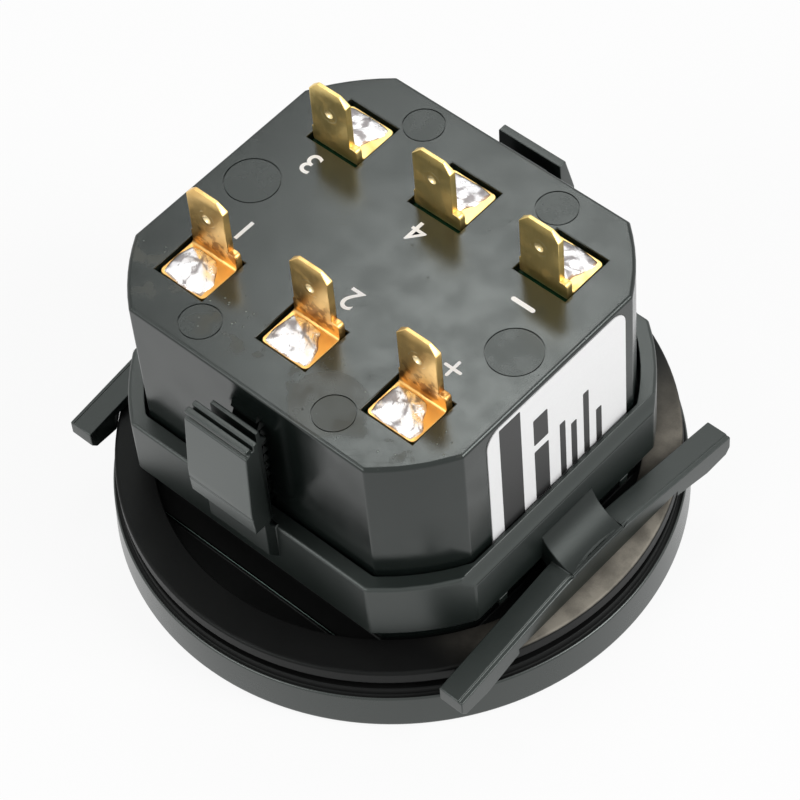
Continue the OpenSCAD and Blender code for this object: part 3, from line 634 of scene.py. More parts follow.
def soften(shape, width, segments, angle):
    """Clears needless lines on flat faces, then rounds every edge sharper than the angle."""
    mesh = bmesh.new()
    mesh.from_mesh(shape.data)
    bmesh.ops.remove_doubles(mesh, verts=mesh.verts, dist=0.002)
    bmesh.ops.dissolve_limit(mesh, angle_limit=math.radians(0.8), verts=mesh.verts, edges=mesh.edges)
    mesh.to_mesh(shape.data)
    mesh.free()
    edge = shape.modifiers.new("soften", "BEVEL")
    edge.width = width
    edge.segments = segments
    edge.limit_method = "ANGLE"
    edge.angle_limit = math.radians(angle)
    edge.use_clamp_overlap = False
    return settle(shape)


# %% Copies and delivery
def copied(shape, flip, move=(0, 0, 0)):
    """A copy of a shape, mirrored by the -1s in flip and then moved."""
    twin = placed("shape", shape.data.copy())
    twin.data.transform(Matrix.Translation(move) @ Matrix.Diagonal((*flip, 1)))
    if flip[0] * flip[1] * flip[2] < 0:
        twin.data.flip_normals()
    return twin


def open_edges(shape):
    """How many edges don't join exactly two faces."""
    mesh = bmesh.new()
    mesh.from_mesh(shape.data)
    count = sum(not edge.is_manifold for edge in mesh.edges)
    mesh.free()
    return count


def deliver(shape, name, material, replaced=(), body="meter"):
    """Turns a finished shape into metres, paints it, and hands it to its body."""
    shape.name = name
    shape.data.name = name
    shape.data.transform(Matrix.Scale(MM, 4))
    shape.data.materials.clear()
    shape.data.materials.append(material)
    shape.data.shade_smooth()
    shape.data.set_sharp_from_angle(angle=math.radians(50))
    shape.modifiers.new("even light on flat faces", "WEIGHTED_NORMAL").keep_sharp = True
    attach(shape, body)
    if replaced:
        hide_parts(*replaced)
    print(f"{name}: {len(shape.data.polygons)} faces, {open_edges(shape)} open edges")
    return shape


def repaint(piece, material, chosen):
    """Gives a material to the faces that chosen(place, normal) picks. Places are in millimetres."""
    piece.data.materials.append(material)
    faces = [face for face in piece.data.polygons if chosen(face.center / MM, face.normal)]
    for face in faces:
        face.material_index = len(piece.data.materials) - 1
    print(f"{material.name}: {len(faces)} faces of {piece.name}")


# %% [markdown]
# ## The outline of the case
# The case is a round bar cut by four flats, so it slips through a round hole and its clip can't
# turn. Every ring of the case and of the clip's collar is this outline. It always has as many
# points, which lets rings of different sizes be skinned into one wall.
# %% Cut round outline
CORNER_STEPS = 5
ROUND_STEPS = 6


def cut_round(x, y, r, z, corner):
    """A ring at height z: a circle of radius r cut by flats at x and y, with rounded corners."""
    side = math.sqrt((r - corner) ** 2 - (x - corner) ** 2)
    front = math.sqrt((r - corner) ** 2 - (y - corner) ** 2)
    first = math.degrees(math.atan2(side, x - corner))
    second = math.degrees(math.atan2(y - corner, front))
    quarter = arc(x - corner, side, corner, 0, first, CORNER_STEPS)
    quarter += arc(0, 0, r, first, second, ROUND_STEPS)[1:-1]
    quarter += arc(front, y - corner, corner, second, 90, CORNER_STEPS)
    back = quarter[::-1]
    ring = quarter + [(-a, b) for a, b in back] + [(-a, -b) for a, b in quarter] + [(a, -b) for a, b in back]
    return [(a, b, z) for a, b in ring]


def case_ring(grow, z):
    """The outline of the case, grown by some millimetres."""
    return cut_round(body_x + grow, body_y + grow, body_r + grow, z, 0.45 + max(grow, -0.25))


def rounded_rim(ring, top, radius, steps):
    """Rings that turn a wall over into a face at the top. ring(inset, z) draws one."""
    turns = [math.pi / 2 * i / steps for i in range(steps + 1)]
    return [ring(radius * (1 - math.cos(t)), top - radius + radius * math.sin(t)) for t in turns]


print("points in an outline:", len(case_ring(0, 0)))


# %% [markdown]
# ## The moulded case
# The body stands in a narrow moat, sunk into a wide flange, and its rear wall has six windows. A
# stack of rings makes the outside in one skin, down to the small fillet where wall and floor
# meet. The flange is turned on the lathe and joined on, and the inside is cut out as one closed
# core, as the core of the moulding tool does.
# %% Outside of the case
REAR_EDGE = 0.4
WALL_FOOT = 0.3
moat_r = body_r + 0.65
moat_z = flange_z - 1.7
floor_z = moat_z + 0.55
floor_y = body_y + 2.5


def case_outside():
    fillet = [case_ring(WALL_FOOT * (1 - math.sin(t)), floor_z + WALL_FOOT * (1 - math.cos(t)))
              for t in (0, 0.4, 0.8, 1.2, math.pi / 2)]
    edge = rounded_rim(lambda inset, z: case_ring(-inset, z), rear_z, REAR_EDGE, 5)
    return skin([case_ring(WALL_FOOT, bezel_z + 0.3)] + fillet + edge)


print(f"wall from {floor_z:.2f} to {rear_z:.2f} mm, rounded by {REAR_EDGE} mm at the edge")


# %% Flange with its spigot, groove and moat
spigot_z = box_mm("rear_housing")[0].z
spigot_r = flange_r - 0.95
bead_z = (spigot_z + bezel_z) / 2 + 0.15
groove_r = flange_r - 0.6


def raised_floor():
    """The floor of the moat, a circle cut by two flats beside the latches, with rounded top edges."""
    reach = moat_r + 0.2

    def ring(inset, z):
        near = math.degrees(math.asin((floor_y - inset) / reach))
        points = arc(0, 0, reach, -near, near, 24) + arc(0, 0, reach, 180 - near, 180 + near, 24)
        return [(x, y, z) for x, y in points]

    return skin([ring(0, bezel_z + 0.2)] + rounded_rim(ring, floor_z, 0.15, 3))


def flange():
    profile = [(spigot_r - 0.3, spigot_z), (spigot_r, spigot_z + 0.3), (spigot_r, bead_z - 0.3),
               (spigot_r + 0.15, bead_z), (spigot_r, bead_z + 0.3), (spigot_r, bezel_z), (groove_r, bezel_z),
               (groove_r, groove_z)]
    profile += arc(flange_r - 0.15, groove_z + 0.15, 0.15, 270, 360, 3)
    profile += arc(flange_r - 0.35, flange_z - 0.35, 0.35, 0, 90, 6)
    shape = turned(profile, 160)
    combine(shape, "DIFFERENCE", [cylinder(0, 0, moat_r, moat_z, flange_z + 1, steps=160)])
    return combine(shape, "UNION", [raised_floor()])


print(f"moat {flange_z - floor_z:.2f} mm deep beside the wall, {flange_z - moat_z:.2f} beside the latches")


# %% Inside of the case
WALL = 1.5
PIN_R = 0.8
SCREW_BORE_R = 0.95
mouth_r = spigot_r - 1.75
board_top = box_mm("main_board")[1].z


def case_core():
    """What the tool's core leaves hollow: the room inside, less the bosses and the melted pins."""
    core = skin([case_ring(-WALL, bezel_z - 0.2), case_ring(-WALL, inner_z)])
    combine(core, "UNION", [cylinder(0, 0, mouth_r, spigot_z - 1, bezel_z, steps=96)])
    posts = [cylinder(x, 0, boss_r, board_top, inner_z + 1) for x in bosses]
    pins = [cylinder(x, y, PIN_R, inner_z - 2.1, inner_z + 1) for x, y in stakes]
    heads = [cylinder(x, y, PIN_R, inner_z - 2.3, inner_z - 1.6, 1.15) for x, y in stakes]
    return combine(core, "DIFFERENCE", posts + pins + heads)


print(f"walls {WALL} mm, bosses {inner_z - board_top:.2f} mm long, front opening {2 * mouth_r:.2f} mm")


# %% Windows
WINDOW = (6.3, 5.85)
ROW_Y = 10.8
FRONT_GAP = 0.45


def window_tools():
    """Six cutters round the feet of the blades. The +Y row has more room in front of its blades."""
    tools = []
    for x, _, side in blade_places:
        left, back = x - WINDOW[0] / 2, side * ROW_Y + WINDOW[1] / 2
        front = side * ROW_Y - WINDOW[1] / 2 - (FRONT_GAP if side > 0 else 0)
        tools.append(block((left, front, inner_z - 0.5), (left + WINDOW[0], back, rear_z + 0.5)))
    return tools


print(len(blade_places), "windows of", WINDOW, "mm")


# %% [markdown]
# ## Ejector marks
# The tool's pins pushed on the rear face while it was warm, and over the bosses the thicker
# plastic sank. Each leaves a disc inside a fine round line. A lathe profile with a small groove
# at its rim is cut into the face after the edges are rounded, so the line stays crisp.
# %% Round marks
line_z = rear_z - 0.13
disc_z = rear_z - 0.015


def mark_tool(x, y, radius):
    """A shallow disc with a groove at its rim."""
    profile = [(radius, rear_z + 0.5), (radius, line_z), (radius - 0.1, line_z), (radius - 0.12, disc_z),
               (radius - 0.6, disc_z), (0.4, disc_z)]
    return moved(turned(profile, 64), x, y)


print("round marks:", len(bosses) + len(stakes))


# %% [markdown]
# ## Racks, with Geometry Nodes
# The clip's pawls climb two racks, one on each long side. A rack is one barb repeated along the
# wall at an even pitch, which is what instances on a mesh line are for. The tree is made for one
# row and then turned into plain faces, so that the row can be joined to the case.
# %% A row of copies
def row_of(shape, step, count, material):
    """Repeats a shape at equal steps with a Geometry Nodes tree, and returns the row as one plain mesh."""
    values = {"Shape": ("Object", shape), "Step": ("Vector", step), "Count": ("Int", count),
              "Material": ("Material", material)}
    tree = bpy.data.node_groups.new("row of copies", "GeometryNodeTree")
    sockets = {}
    for label, (kind, value) in values.items():
        made = tree.interface.new_socket(label, in_out="INPUT", socket_type="NodeSocket" + kind)
        sockets[label] = made.identifier
    tree.interface.new_socket("Row", in_out="OUTPUT", socket_type="NodeSocketGeometry")
    net = Net(tree)
    given = {label: net.node("NodeGroupInput", {}, {}, label) for label in values}
    one = net.node("GeometryNodeObjectInfo", {}, {"Object": given["Shape"]}, "Geometry")
    line = net.node("GeometryNodeMeshLine", {}, {"Count": given["Count"], "Offset": given["Step"]})
    spread = net.node("GeometryNodeInstanceOnPoints", {}, {"Points": line, "Instance": one})
    whole = net.node("GeometryNodeRealizeInstances", {}, {"Geometry": spread})
    painted = net.node("GeometryNodeSetMaterial", {}, {"Geometry": whole, "Material": given["Material"]})
    net.end("NodeGroupOutput", {"Row": painted})
    row = placed("row", bpy.data.meshes.new("row"))
    repeat = row.modifiers.new("row", "NODES")
    repeat.node_group = tree
    for label, (kind, value) in values.items():
        repeat[sockets[label]] = value
    settle(row)
    bpy.data.objects.remove(shape)
    return row


# %% Racks
rack_half = 1.6
tooth_h = 0.45
tooth_pitch = 1.25
rack_z = flange_z + 1.5
teeth = int((rear_z - 2.2 - rack_z) / tooth_pitch + 0.001)


def rack_tooth():
    """One barb: flat below, sloping above, standing off the +Y wall."""
    root, crest = body_y - 0.4, body_y + tooth_h
    top = rack_z + tooth_pitch - 0.1
    outline = [(root, rack_z), (crest - 0.06, rack_z), (crest, rack_z + 0.06), (crest, rack_z + 0.2),
               (crest - 0.04, rack_z + 0.3), (body_y, top), (root, top)]
    return prism(outline, "X", -rack_half, rack_half)


rack = row_of(rack_tooth(), (0, 0, tooth_pitch), teeth, case_plastic)
print("rack of", teeth, "teeth:", len(rack.data.polygons), "faces")


# %% Build the case
case = combine(case_outside(), "UNION", [flange()])
combine(case, "DIFFERENCE", [case_core()] + window_tools())
combine(case, "DIFFERENCE", [cylinder(x, 0, SCREW_BORE_R, board_top - 1, board_top + 8) for x in bosses])
soften(case, 0.12, 2, 40)
combine(case, "UNION", [copied(rack, (1, -1, 1)), rack])
marks = [mark_tool(x, 0, boss_r) for x in bosses] + [mark_tool(x, y, stake_mark_r) for x, y in stakes]
combine(case, "DIFFERENCE", marks)
deliver(case, "case", case_plastic, ["rear_housing"])
repaint(case, flange_plastic, lambda place, normal: place.z < flange_z + 0.02)
# A painted glint: the rounded edge of the moat's raised floor beside the latches is pale grey.
repaint(case, edge_glint_plastic, lambda place, normal: abs(abs(place.y) - floor_y) < 0.2
        and floor_z - 0.12 < place.z < floor_z and abs(place.x) < 10)


# %% [markdown]
# ## The bezel
# The front ring is turned in one profile: the lip that holds the lens, a polished band with a
# little draft, and the step that meets the flange. The step was never polished, so it is as dull
# as the flange and only the band shines.
# %% Bezel ring
SEAT_Z = 1.4
band_z = 4.55
bore_r = flange_r - 0.9
lip_r = bore_r - 2


def bezel():
    profile = [(lip_r, SEAT_Z), (lip_r, 0.5)] + arc(lip_r + 0.5, 0.5, 0.5, 180, 270, 4)
    profile += arc(bezel_r - 0.6, 0.6, 0.6, -90, 0, 7)
    profile += arc(bezel_r - 0.48, band_z - 0.25, 0.25, 0, 90, 5)
    profile += [(flange_r + 0.12, band_z), (flange_r, band_z + 0.12)]
    profile += arc(flange_r - 0.15, bezel_z - 0.15, 0.15, 0, 90, 4)
    profile += [(bore_r + 0.05, bezel_z), (bore_r, bezel_z - 0.05), (bore_r, bead_z + 0.4),
                (bore_r + 0.15, bead_z), (bore_r, bead_z - 0.4), (bore_r, SEAT_Z)]
    return turned(profile, 192, closed=True)


ring = deliver(bezel(), "bezel", bezel_plastic, ["bezel_ring"])
repaint(ring, flange_plastic, lambda place, normal: place.z > band_z - 0.02)


# %% [markdown]
# ## The lens
# The window stands a little proud of its seat. Its raised middle ends in a rounded shoulder,
# which catches the light as a ring when the instrument is seen from the front. A hair of air is
# left between window and dial: two faces in one plane would show neither cleanly.
# %% Lens
def lens():
    front_z = box_mm("lens")[0].z
    back_z = box_mm("dial_plate")[0].z - 0.03
    middle_r = lip_r - 0.3
    rim_r = bore_r - 0.1
    profile = arc(middle_r - 0.5, front_z + 0.5, 0.5, -90, 0, 6)
    profile += [(middle_r, SEAT_Z), (rim_r - 0.05, SEAT_Z), (rim_r, SEAT_Z + 0.05), (rim_r, back_z - 0.05),
                (rim_r - 0.05, back_z)]
    return turned(profile, 160)


deliver(lens(), "lens", finish["clear_acrylic"], ["lens"])


# %% [markdown]
# ## The segments of the display
# With the power off, a liquid-crystal display still shows its segments as faint grey shapes. One
# figure is seven bars with pointed ends, and the row of figures is that one repeated.
# %% Figures of the display
FIGURES = 5
FIGURE_PITCH = 5.5
FIGURE_HALF = 1.75
BAR_HALF = 0.36
FILM_T = 0.02
glass_z = box_mm("lcd_glass")[0].z


def segment(x, y, turn=0):
    """One bar with pointed ends, on the front of the glass."""
    long = FIGURE_HALF - 0.12
    outline = [(-long, 0), (BAR_HALF - long, -BAR_HALF), (long - BAR_HALF, -BAR_HALF), (long, 0),
               (long - BAR_HALF, BAR_HALF), (BAR_HALF - long, BAR_HALF)]
    return moved(prism(outline, "Z", glass_z - FILM_T, glass_z + 0.005), x, y, turn=turn)


def figure(x):
    """All seven bars of one figure, centred at x."""
    sides = (-FIGURE_HALF, FIGURE_HALF)
    level = [segment(x, y) for y in (-2 * FIGURE_HALF, 0, 2 * FIGURE_HALF)]
    upright = [segment(x + a, b, math.pi / 2) for a in sides for b in sides]
    return combine(level[0], "UNION", level[1:] + upright)


leftmost = figure(-FIGURE_PITCH * (FIGURES - 1) / 2)
figures = row_of(leftmost, (FIGURE_PITCH, 0, 0), FIGURES, finish["segment_film"])
deliver(figures, "display_segments", finish["segment_film"])


# %% [markdown]
# ## The retaining clip
# The clip is one moulding: a collar that slides on the case, two bowed arms that press on the
# panel, and two latches whose pawls climb the racks. Its solids are joined first and rounded
# together, so the edges run over from one to the next as they do in a real moulding.
# %% Collar
RIM_EDGE = 0.35
FOOT_EDGE = 0.3
collar_low = 10.9
collar_high = 18.3
clip_gap = 0.3
collar_x = body_x + clip_gap + 1.25
collar_y = body_y + clip_gap + 1.7
collar_r = body_r + clip_gap + 1.65
shoulder_drop = 1.6
shoulder_w = 0.8


def rounded_in(over, radius):
    """How far a rounded edge draws a wall in, some height past the start of the edge."""
    part = max(0.0, over / radius)
    return radius * (1 - math.sqrt(max(0.0, 1 - part * part)))


def collar_ring(z):
    """The collar's outside at a height: near the top its X flats slope inwards as a soft shoulder."""
    up = max(0.0, (z - (collar_high - shoulder_drop)) / shoulder_drop)
    slope = shoulder_w * (1.55 * up - 0.55 * up * up)
    inset = rounded_in(z - (collar_high - RIM_EDGE), RIM_EDGE)
    inset += rounded_in(collar_low + FOOT_EDGE - z, FOOT_EDGE)
    return cut_round(collar_x - max(slope, inset), collar_y - inset, collar_r - inset, z, 0.8)


def collar():
    foot = [collar_low + FOOT_EDGE * (1 - math.cos(math.pi / 2 * i / 3)) for i in range(4)]
    slopes = [collar_high - shoulder_drop + shoulder_drop * i / 6 for i in range(5)]
    rim = [collar_high - RIM_EDGE + RIM_EDGE * math.sin(math.pi / 2 * i / 4) for i in range(5)]
    shape = skin([collar_ring(z) for z in foot + slopes + rim])
    half, reach = rack_half + clip_gap, body_y + tooth_h + clip_gap
    low, high = collar_low - 1, collar_high + 1
    sleeve = skin([case_ring(clip_gap, low), case_ring(clip_gap, high)])
    return combine(shape, "DIFFERENCE", [sleeve, block((-half, -reach, low), (half, reach, high))])


print(f"collar {2 * collar_x:.2f} x {2 * collar_y:.2f} mm outside")


# %% Arms
arm_z = flange_z + clip_gap
arm_x = collar_x + 1.1
arm_out = arm_x + 2.85
arm_half = 20.15
arm_step = 0.45
bow_r = 44
bow_reach = 7


def arm_view(drop):
    """Side view of an arm: bowed along its top, with its tips lower than its middle."""
    bow_z = arm_z + 3.15 - drop
    angle = math.asin(bow_reach / bow_r)
    end_z = bow_z - bow_r * (1 - math.cos(angle)) - math.tan(angle) * (arm_half - bow_reach)
    tip_z = arm_z - 2
    under = [(-arm_half, tip_z + 0.7), (-arm_half + 0.6, tip_z), (-arm_half + 3.6, tip_z), (-9, arm_z)]
    turn = math.degrees(angle)
    top = [(arm_half, end_z)] + arc(0, bow_z - bow_r, bow_r, 90 - turn, 90 + turn, 12) + [(-arm_half, end_z)]
    return under + [(-y, z) for y, z in under[::-1]] + top


def arm():
    """The arm on the +X side, with the lower step along its outer edge and its relief over the flange."""
    shape = prism(arm_view(0), "X", arm_x, arm_out - arm_step)
    combine(shape, "UNION", [prism(arm_view(0.15), "X", arm_out - arm_step - 0.01, arm_out)])
    return combine(shape, "DIFFERENCE", [cylinder(0, 0, flange_r + 0.3, arm_z - 3, arm_z, steps=160)])


print(f"arms from {arm_x:.2f} to {arm_out:.2f} mm beside the axis")


# %% Saddles that carry the arms
saddle_half = 3.7
saddle_r = 4.63


def saddle():
    """A bridge from collar to arm with a round hollow on its top."""
    low, top = collar_low - 1.6, collar_low + 3.7
    root, edge = collar_x - 0.6, arm_out - 0.15
    centre = (arm_out + 0.45, collar_low + 5.1)
    start = 180 + math.degrees(math.asin((centre[1] - top) / saddle_r))
    end = 180 + math.degrees(math.acos((centre[0] - edge) / saddle_r))
    outline = [(root, collar_low), (root, top)] + arc(*centre, saddle_r, start, end, 14)
    return prism(outline + [(edge, low), (arm_x, low)], "Y", -saddle_half, saddle_half)


print(f"saddles {2 * saddle_half:.2f} mm wide, hollowed with a radius of {saddle_r:.2f}")


# %% Latches
latch_top = box_mm("retaining_clip")[1].z
latch_half = 3.9
pawl_in = body_y + 1.2
stem_in = collar_y + 0.55
stem_out = stem_in + 0.7
pad_top = stem_in + 1.6
pad_face = stem_in + 2.25
pad_z = collar_high + 1.8


def latch_body():
    """Stem and finger pad on the +Y side: a side view cut to the flared front view."""
    root = collar_y - 0.3
    side = [(root, collar_high - 5), (collar_y, collar_high - 5), (stem_out, collar_high - 3.4),
            (stem_out, pad_z), (pad_face - 0.15, pad_z), (pad_face - 0.02, pad_z + 2.05),
            (pad_face - 0.12, pad_z + 2.2), (pad_face, pad_z + 2.35), (pad_face, pad_z + 3.4),
            (pad_top + 0.1, latch_top - 1.05), (pad_top - 0.4, latch_top - 0.9),
            (pad_top - 0.4, latch_top - 0.6), (pad_top, latch_top - 0.45), (pad_top, latch_top),
            (stem_in, latch_top), (stem_in, collar_high + 0.9), (root, collar_high)]
    right = [(latch_half, collar_low), (latch_half, pad_z - 0.1), (latch_half + 0.3, pad_z),
             (latch_half, latch_top), (latch_half, latch_top + 1)]
    front = right + [(-x, z) for x, z in right[::-1]]
    shape = prism(side, "X", -latch_half - 1, latch_half + 1)
    return combine(shape, "INTERSECT", [prism(front, "Y", 0, pad_face + 1)])


def latch_head(troughed):
    """What is cut from the head: a trough in one latch, and all but a single plate in the other."""
    if troughed:
        return block((-latch_half - 1, stem_in + 0.6, latch_top - 0.7),
                     (latch_half + 1, stem_in + 0.9, latch_top + 1))
    plate_out = stem_out + 0.25
    outline = [(plate_out, latch_top + 0.5), (plate_out, latch_top - 0.2), (pad_face + 0.1, latch_top - 6),
               (pad_face + 1, latch_top - 6), (pad_face + 1, latch_top + 0.5)]
    return prism(outline, "X", -latch_half - 1, latch_half + 1)


print(f"latches {2 * latch_half:.2f} mm wide, their tops at {latch_top:.2f} mm")


# %% Pawls
pawl_half = rack_half + 1.3


def pawl():
    """The pawl behind the latch. It ends just outside the crests of the rack."""
    tip, top = body_y + tooth_h + 0.1, latch_top - 0.4
    outline = [(pawl_in, collar_high - 0.5), (pawl_in + 0.6, collar_high - 0.5), (pawl_in + 0.6, top),
               (pawl_in + 0.1, top), (pawl_in, top - 0.9), (tip, top - 1.7), (tip, top - 1.9),
               (pawl_in, top - 2.2)]
    return prism(outline, "X", -pawl_half, pawl_half)


def latch(troughed):
    """The latch body with its hollow and its head, then the pawl and the web that joins them."""
    hollow = [(stem_out, pad_z - 0.5), (pad_face - 0.85, pad_z - 0.5), (pad_face - 0.75, pad_z + 3.4),
              (pad_top - 0.65, latch_top - 2.4), (stem_out, latch_top - 2.4)]
    tools = [prism(hollow, "X", -latch_half + 0.7, latch_half - 0.7), latch_head(troughed)]
    shape = combine(latch_body(), "DIFFERENCE", tools)
    web = block((-rack_half, pawl_in + 0.5, collar_high + 6), (rack_half, stem_in + 0.1, collar_high + 7.2))
    return combine(shape, "UNION", [pawl(), web])


print(f"pawls {2 * pawl_half:.2f} mm wide")


# %% Build the clip
def clip():
    shape = collar()
    parts = []
    for half in (arm(), saddle()):
        parts += [copied(half, (-1, 1, 1)), half]
    near = latch(True)
    parts += [latch(False), copied(near, (1, -1, 1))]
    bpy.data.objects.remove(near)
    feet = [block((x, y - 0.6, collar_low - 0.9), (x + 1, y + 0.6, collar_low + 0.1))
            for x in (-collar_x, collar_x - 1) for y in (-9.45, 8.45)]
    combine(shape, "UNION", parts + feet)
    return soften(shape, 0.13, 2, 32)


moulding = deliver(clip(), "clip", clip_plastic, ["retaining_clip"], "clip")
# The saddles' hollows take the darker copy as painted shade.
repaint(moulding, shaded_saddle_plastic, lambda place, normal: abs(place.y) < saddle_half + 0.1 and normal.z > 0.2
        and collar_x - 0.1 < abs(place.x) < arm_out and normal.x * place.x > 0.05 * abs(place.x))
# The pads' faces take the lighter copy: wear, and a painted sheen.
repaint(moulding, pad_wear_and_sheen_plastic, lambda place, normal: abs(place.y) > pad_face - 0.4 and place.z > pad_z
        and abs(normal.y) > 0.7)


# %% [markdown]
# ## The blades
# Each blade is a strip of brass, stamped and bent once: the foot lies in the window and the blade
# stands up through it. A side view with the bend, cut by a front view with the shoulders and the
# clipped tip, gives the strip. A punch then leaves its dimple on each side.
# %% Blade
foot_z, blade_z = blade_boxes[0][0].z, blade_boxes[0][1].z
foot_half = (blade_boxes[0][1].x - blade_boxes[0][0].x) / 2
foot_l = blade_boxes[0][1].y - blade_boxes[0][0].y
brass_t = 0.8
blade_half = 2.375
TIP_CUT = 1.0
TIP_TAPER = 0.22
FOOT_CORNER = 0.55
SHOULDER_ROUND = 0.45


def blade_side():
    """Side view: foot, bend and blade, with the tip thinned on both sides."""
    outer = arc(1, foot_z + 1, 1, 180, 270, 8)
    inner = arc(brass_t + 0.3, foot_z + brass_t + 0.3, 0.3, 270, 180, 6)
    end = [(foot_l, foot_z), (foot_l, foot_z + brass_t)]
    tip = [(brass_t, blade_z - 1), (brass_t - TIP_TAPER, blade_z), (TIP_TAPER, blade_z), (0, blade_z - 1)]
    return outer + end + inner + tip


def blade_front():
    """Front view: the wide foot, rounded shoulders, and the blade with its clipped corners."""
    left, right = blade_shift - blade_half, blade_shift + blade_half
    outline = [(-foot_half, foot_z - 1), (foot_half, foot_z - 1)]
    outline += arc(foot_half - SHOULDER_ROUND, shoulder_z - SHOULDER_ROUND, SHOULDER_ROUND, 0, 90, 6)
    outline += [(right + 0.02, shoulder_z), (right, shoulder_z + 0.02), (right, blade_z - TIP_CUT),
                (right - TIP_CUT, blade_z), (left + TIP_CUT, blade_z), (left, blade_z - TIP_CUT)]
    return outline + [(left, shoulder_z), (-foot_half, shoulder_z - 0.1)]


def foot_plan():
    """Seen from above, the free corners of the foot are rounded."""
    x, y = foot_half - FOOT_CORNER, foot_l - FOOT_CORNER
    corners = arc(x, y, FOOT_CORNER, 0, 90, 6) + arc(-x, y, FOOT_CORNER, 90, 180, 6)
    return [(-foot_half, -1), (foot_half, -1)] + corners


print(f"blades {2 * blade_half:.2f} x {brass_t:.2f} mm, {blade_z - shoulder_z:.2f} mm above the shoulders")


# %% Punch mark
PUNCH_R = 0.62
PUNCH_OUT = 0.34
PUNCH_STEPS = 15


def punch(y):
    """A ball whose middle lies outside the face, so that it leaves a shallow dimple there."""
    turns = [math.pi * (i + 0.5) / PUNCH_STEPS for i in range(PUNCH_STEPS)]
    ball = turned([(PUNCH_R * math.sin(t), -PUNCH_R * math.cos(t)) for t in turns], 2 * PUNCH_STEPS + 1)
    return moved(ball, blade_shift, y, dimple_z + 0.013)


def blade():
    """A blade whose foot lies along +Y, with the outside of its bend at y = 0."""
    shape = prism(blade_side(), "X", -foot_half, foot_half)
    combine(shape, "INTERSECT", [prism(blade_front(), "Y", -1, foot_l + 1)])
    combine(shape, "INTERSECT", [prism(foot_plan(), "Z", foot_z - 1, blade_z + 1)])
    soften(shape, 0.09, 3, 30)
    return combine(shape, "DIFFERENCE", [punch(-PUNCH_OUT), punch(brass_t + PUNCH_OUT)])


print(f"dimples {PUNCH_R - PUNCH_OUT:.2f} mm deep")


# %% Place six blades
pattern = blade()
for node, (x, y, side) in zip(blade_nodes, blade_places):
    twin = copied(pattern, (1, side, 1), (x, y, 0))
    deliver(twin, "blade_" + node[-1], brass_sheet, [node])
bpy.data.objects.remove(pattern)


# %% [markdown]
# ## Solder
# A mound of solder holds each foot to the board below. It froze as a crumpled pillow with four
# ridges, which leaves a wedge of bare brass at one side of the bend, and no two mounds are alike.
# Each is a grid of heights with a fixed seed. The grid also says where the skin is grey, partly
# crumpled and partly painted shade on two facets and along the valleys and creases, and where flux
# burnt at the rim, and the finish reads that to turn grey or brown there.
# %% Shape of a mound
MOUND_STEPS = 36
MOUND_HALF = 2.15
foot_top = foot_z + brass_t


def wrinkle(shift, x, y, layer):
    """Smooth random waves between -1 and 1. shift moves them, so that each mound has its own."""
    return noise.noise(Vector((x, y, layer)) + shift)


def mound_plan(shift, u, v, side):
    """Where a point of the square grid lies, seen from above. u and v run from -1 to 1."""
    wave = wrinkle(shift, u * 1.3, v * 1.3, 0)
    a = u * math.sqrt(1 - 0.2 * v * v) + 0.07 * wave
    b = v * math.sqrt(1 - 0.2 * u * u) * (1 - 0.05 * wave)
    left = -2.75 - 0.05 * b
    right = (2.05 + 0.65 * b) if side > 0 else (2.3 + 0.95 * b - 0.45 * b * b)
    right += 0.3 * wrinkle(shift, b * 1.9, 1.7, 8)
    return (left + right) / 2 + (right - left) / 2 * a, side * MOUND_HALF * b


def mound_relief(shift, peak, u, v, side):
    """The height over the foot, how grey the skin is, partly crumpled and partly painted shade, and how
    burnt.
    """
    edge = max(abs(u), abs(v))
    du, dv = u - peak.x * (1 - edge), v - peak.y * (1 - edge)
    from_peak = max(abs(du), abs(dv))
    fade = 0.5 if dv > abs(du) else 1.0
    folds = wrinkle(shift, u * 2.4, v * 2.4, 4)
    valley = math.exp(-(min(abs(du), abs(dv)) / 0.09) ** 2) * (1 - fade * from_peak)
    crease = math.exp(-(wrinkle(shift, u * 2.1, v * 1.5, 7) / 0.035) ** 2)
    height = 0.42 * (1 - from_peak) ** 0.9 + (1 - edge ** 6) * (0.13 + 0.08 * folds + 0.12 * (1 - v))
    # Painted shade: the facets towards -u and -v, the valleys and the creases are painted grey as shade;
    # folds add grey of the skin itself, and the +Y row is greyer.
    facets = 0.55 * (-du > abs(dv)) + 0.45 * (-dv > abs(du)) + 0.25 * (side > 0)
    grey_and_shade = 0.1 + facets + 0.7 * valley + 0.6 * crease + (1.3 if side > 0 else 0.9) * folds
    rim = max(0.0, (edge - 0.84) / 0.16) * (0.7 + 0.9 * folds)
    return max(0.0, height - 0.05 * valley), min(1.0, max(0.0, grey_and_shade)), min(1.0, max(0.0, rim))


print(f"mounds {2 * MOUND_HALF:.2f} mm long, on feet whose tops are at {foot_top:.2f} mm")


# %% Mound of solder
def mound(seed, x, y, side):
    """Rows of (point, greyness, burnt) of one mound, the greyness partly crumpled skin and partly painted
    shade. side is 1 for the +Y row and -1 for the other.
    """
    pick = random.Random(seed)
    shift = Vector((pick.uniform(-9, 9), pick.uniform(-9, 9), seed * 3.7))
    peak = Vector((pick.uniform(0.05, 0.35), pick.uniform(-0.55, -0.3)))
    steps = [2 * i / MOUND_STEPS - 1 for i in range(MOUND_STEPS + 1)]
    rows = []
    for u in steps:
        row = []
        for v in steps:
            across, along = mound_plan(shift, u, v, side)
            height, crumple_and_shade, burnt = mound_relief(shift, peak, u, v, side)
            row.append(((x + across, y + along, foot_top + height - 0.01), crumple_and_shade, burnt))
        rows.append(row)
    return rows


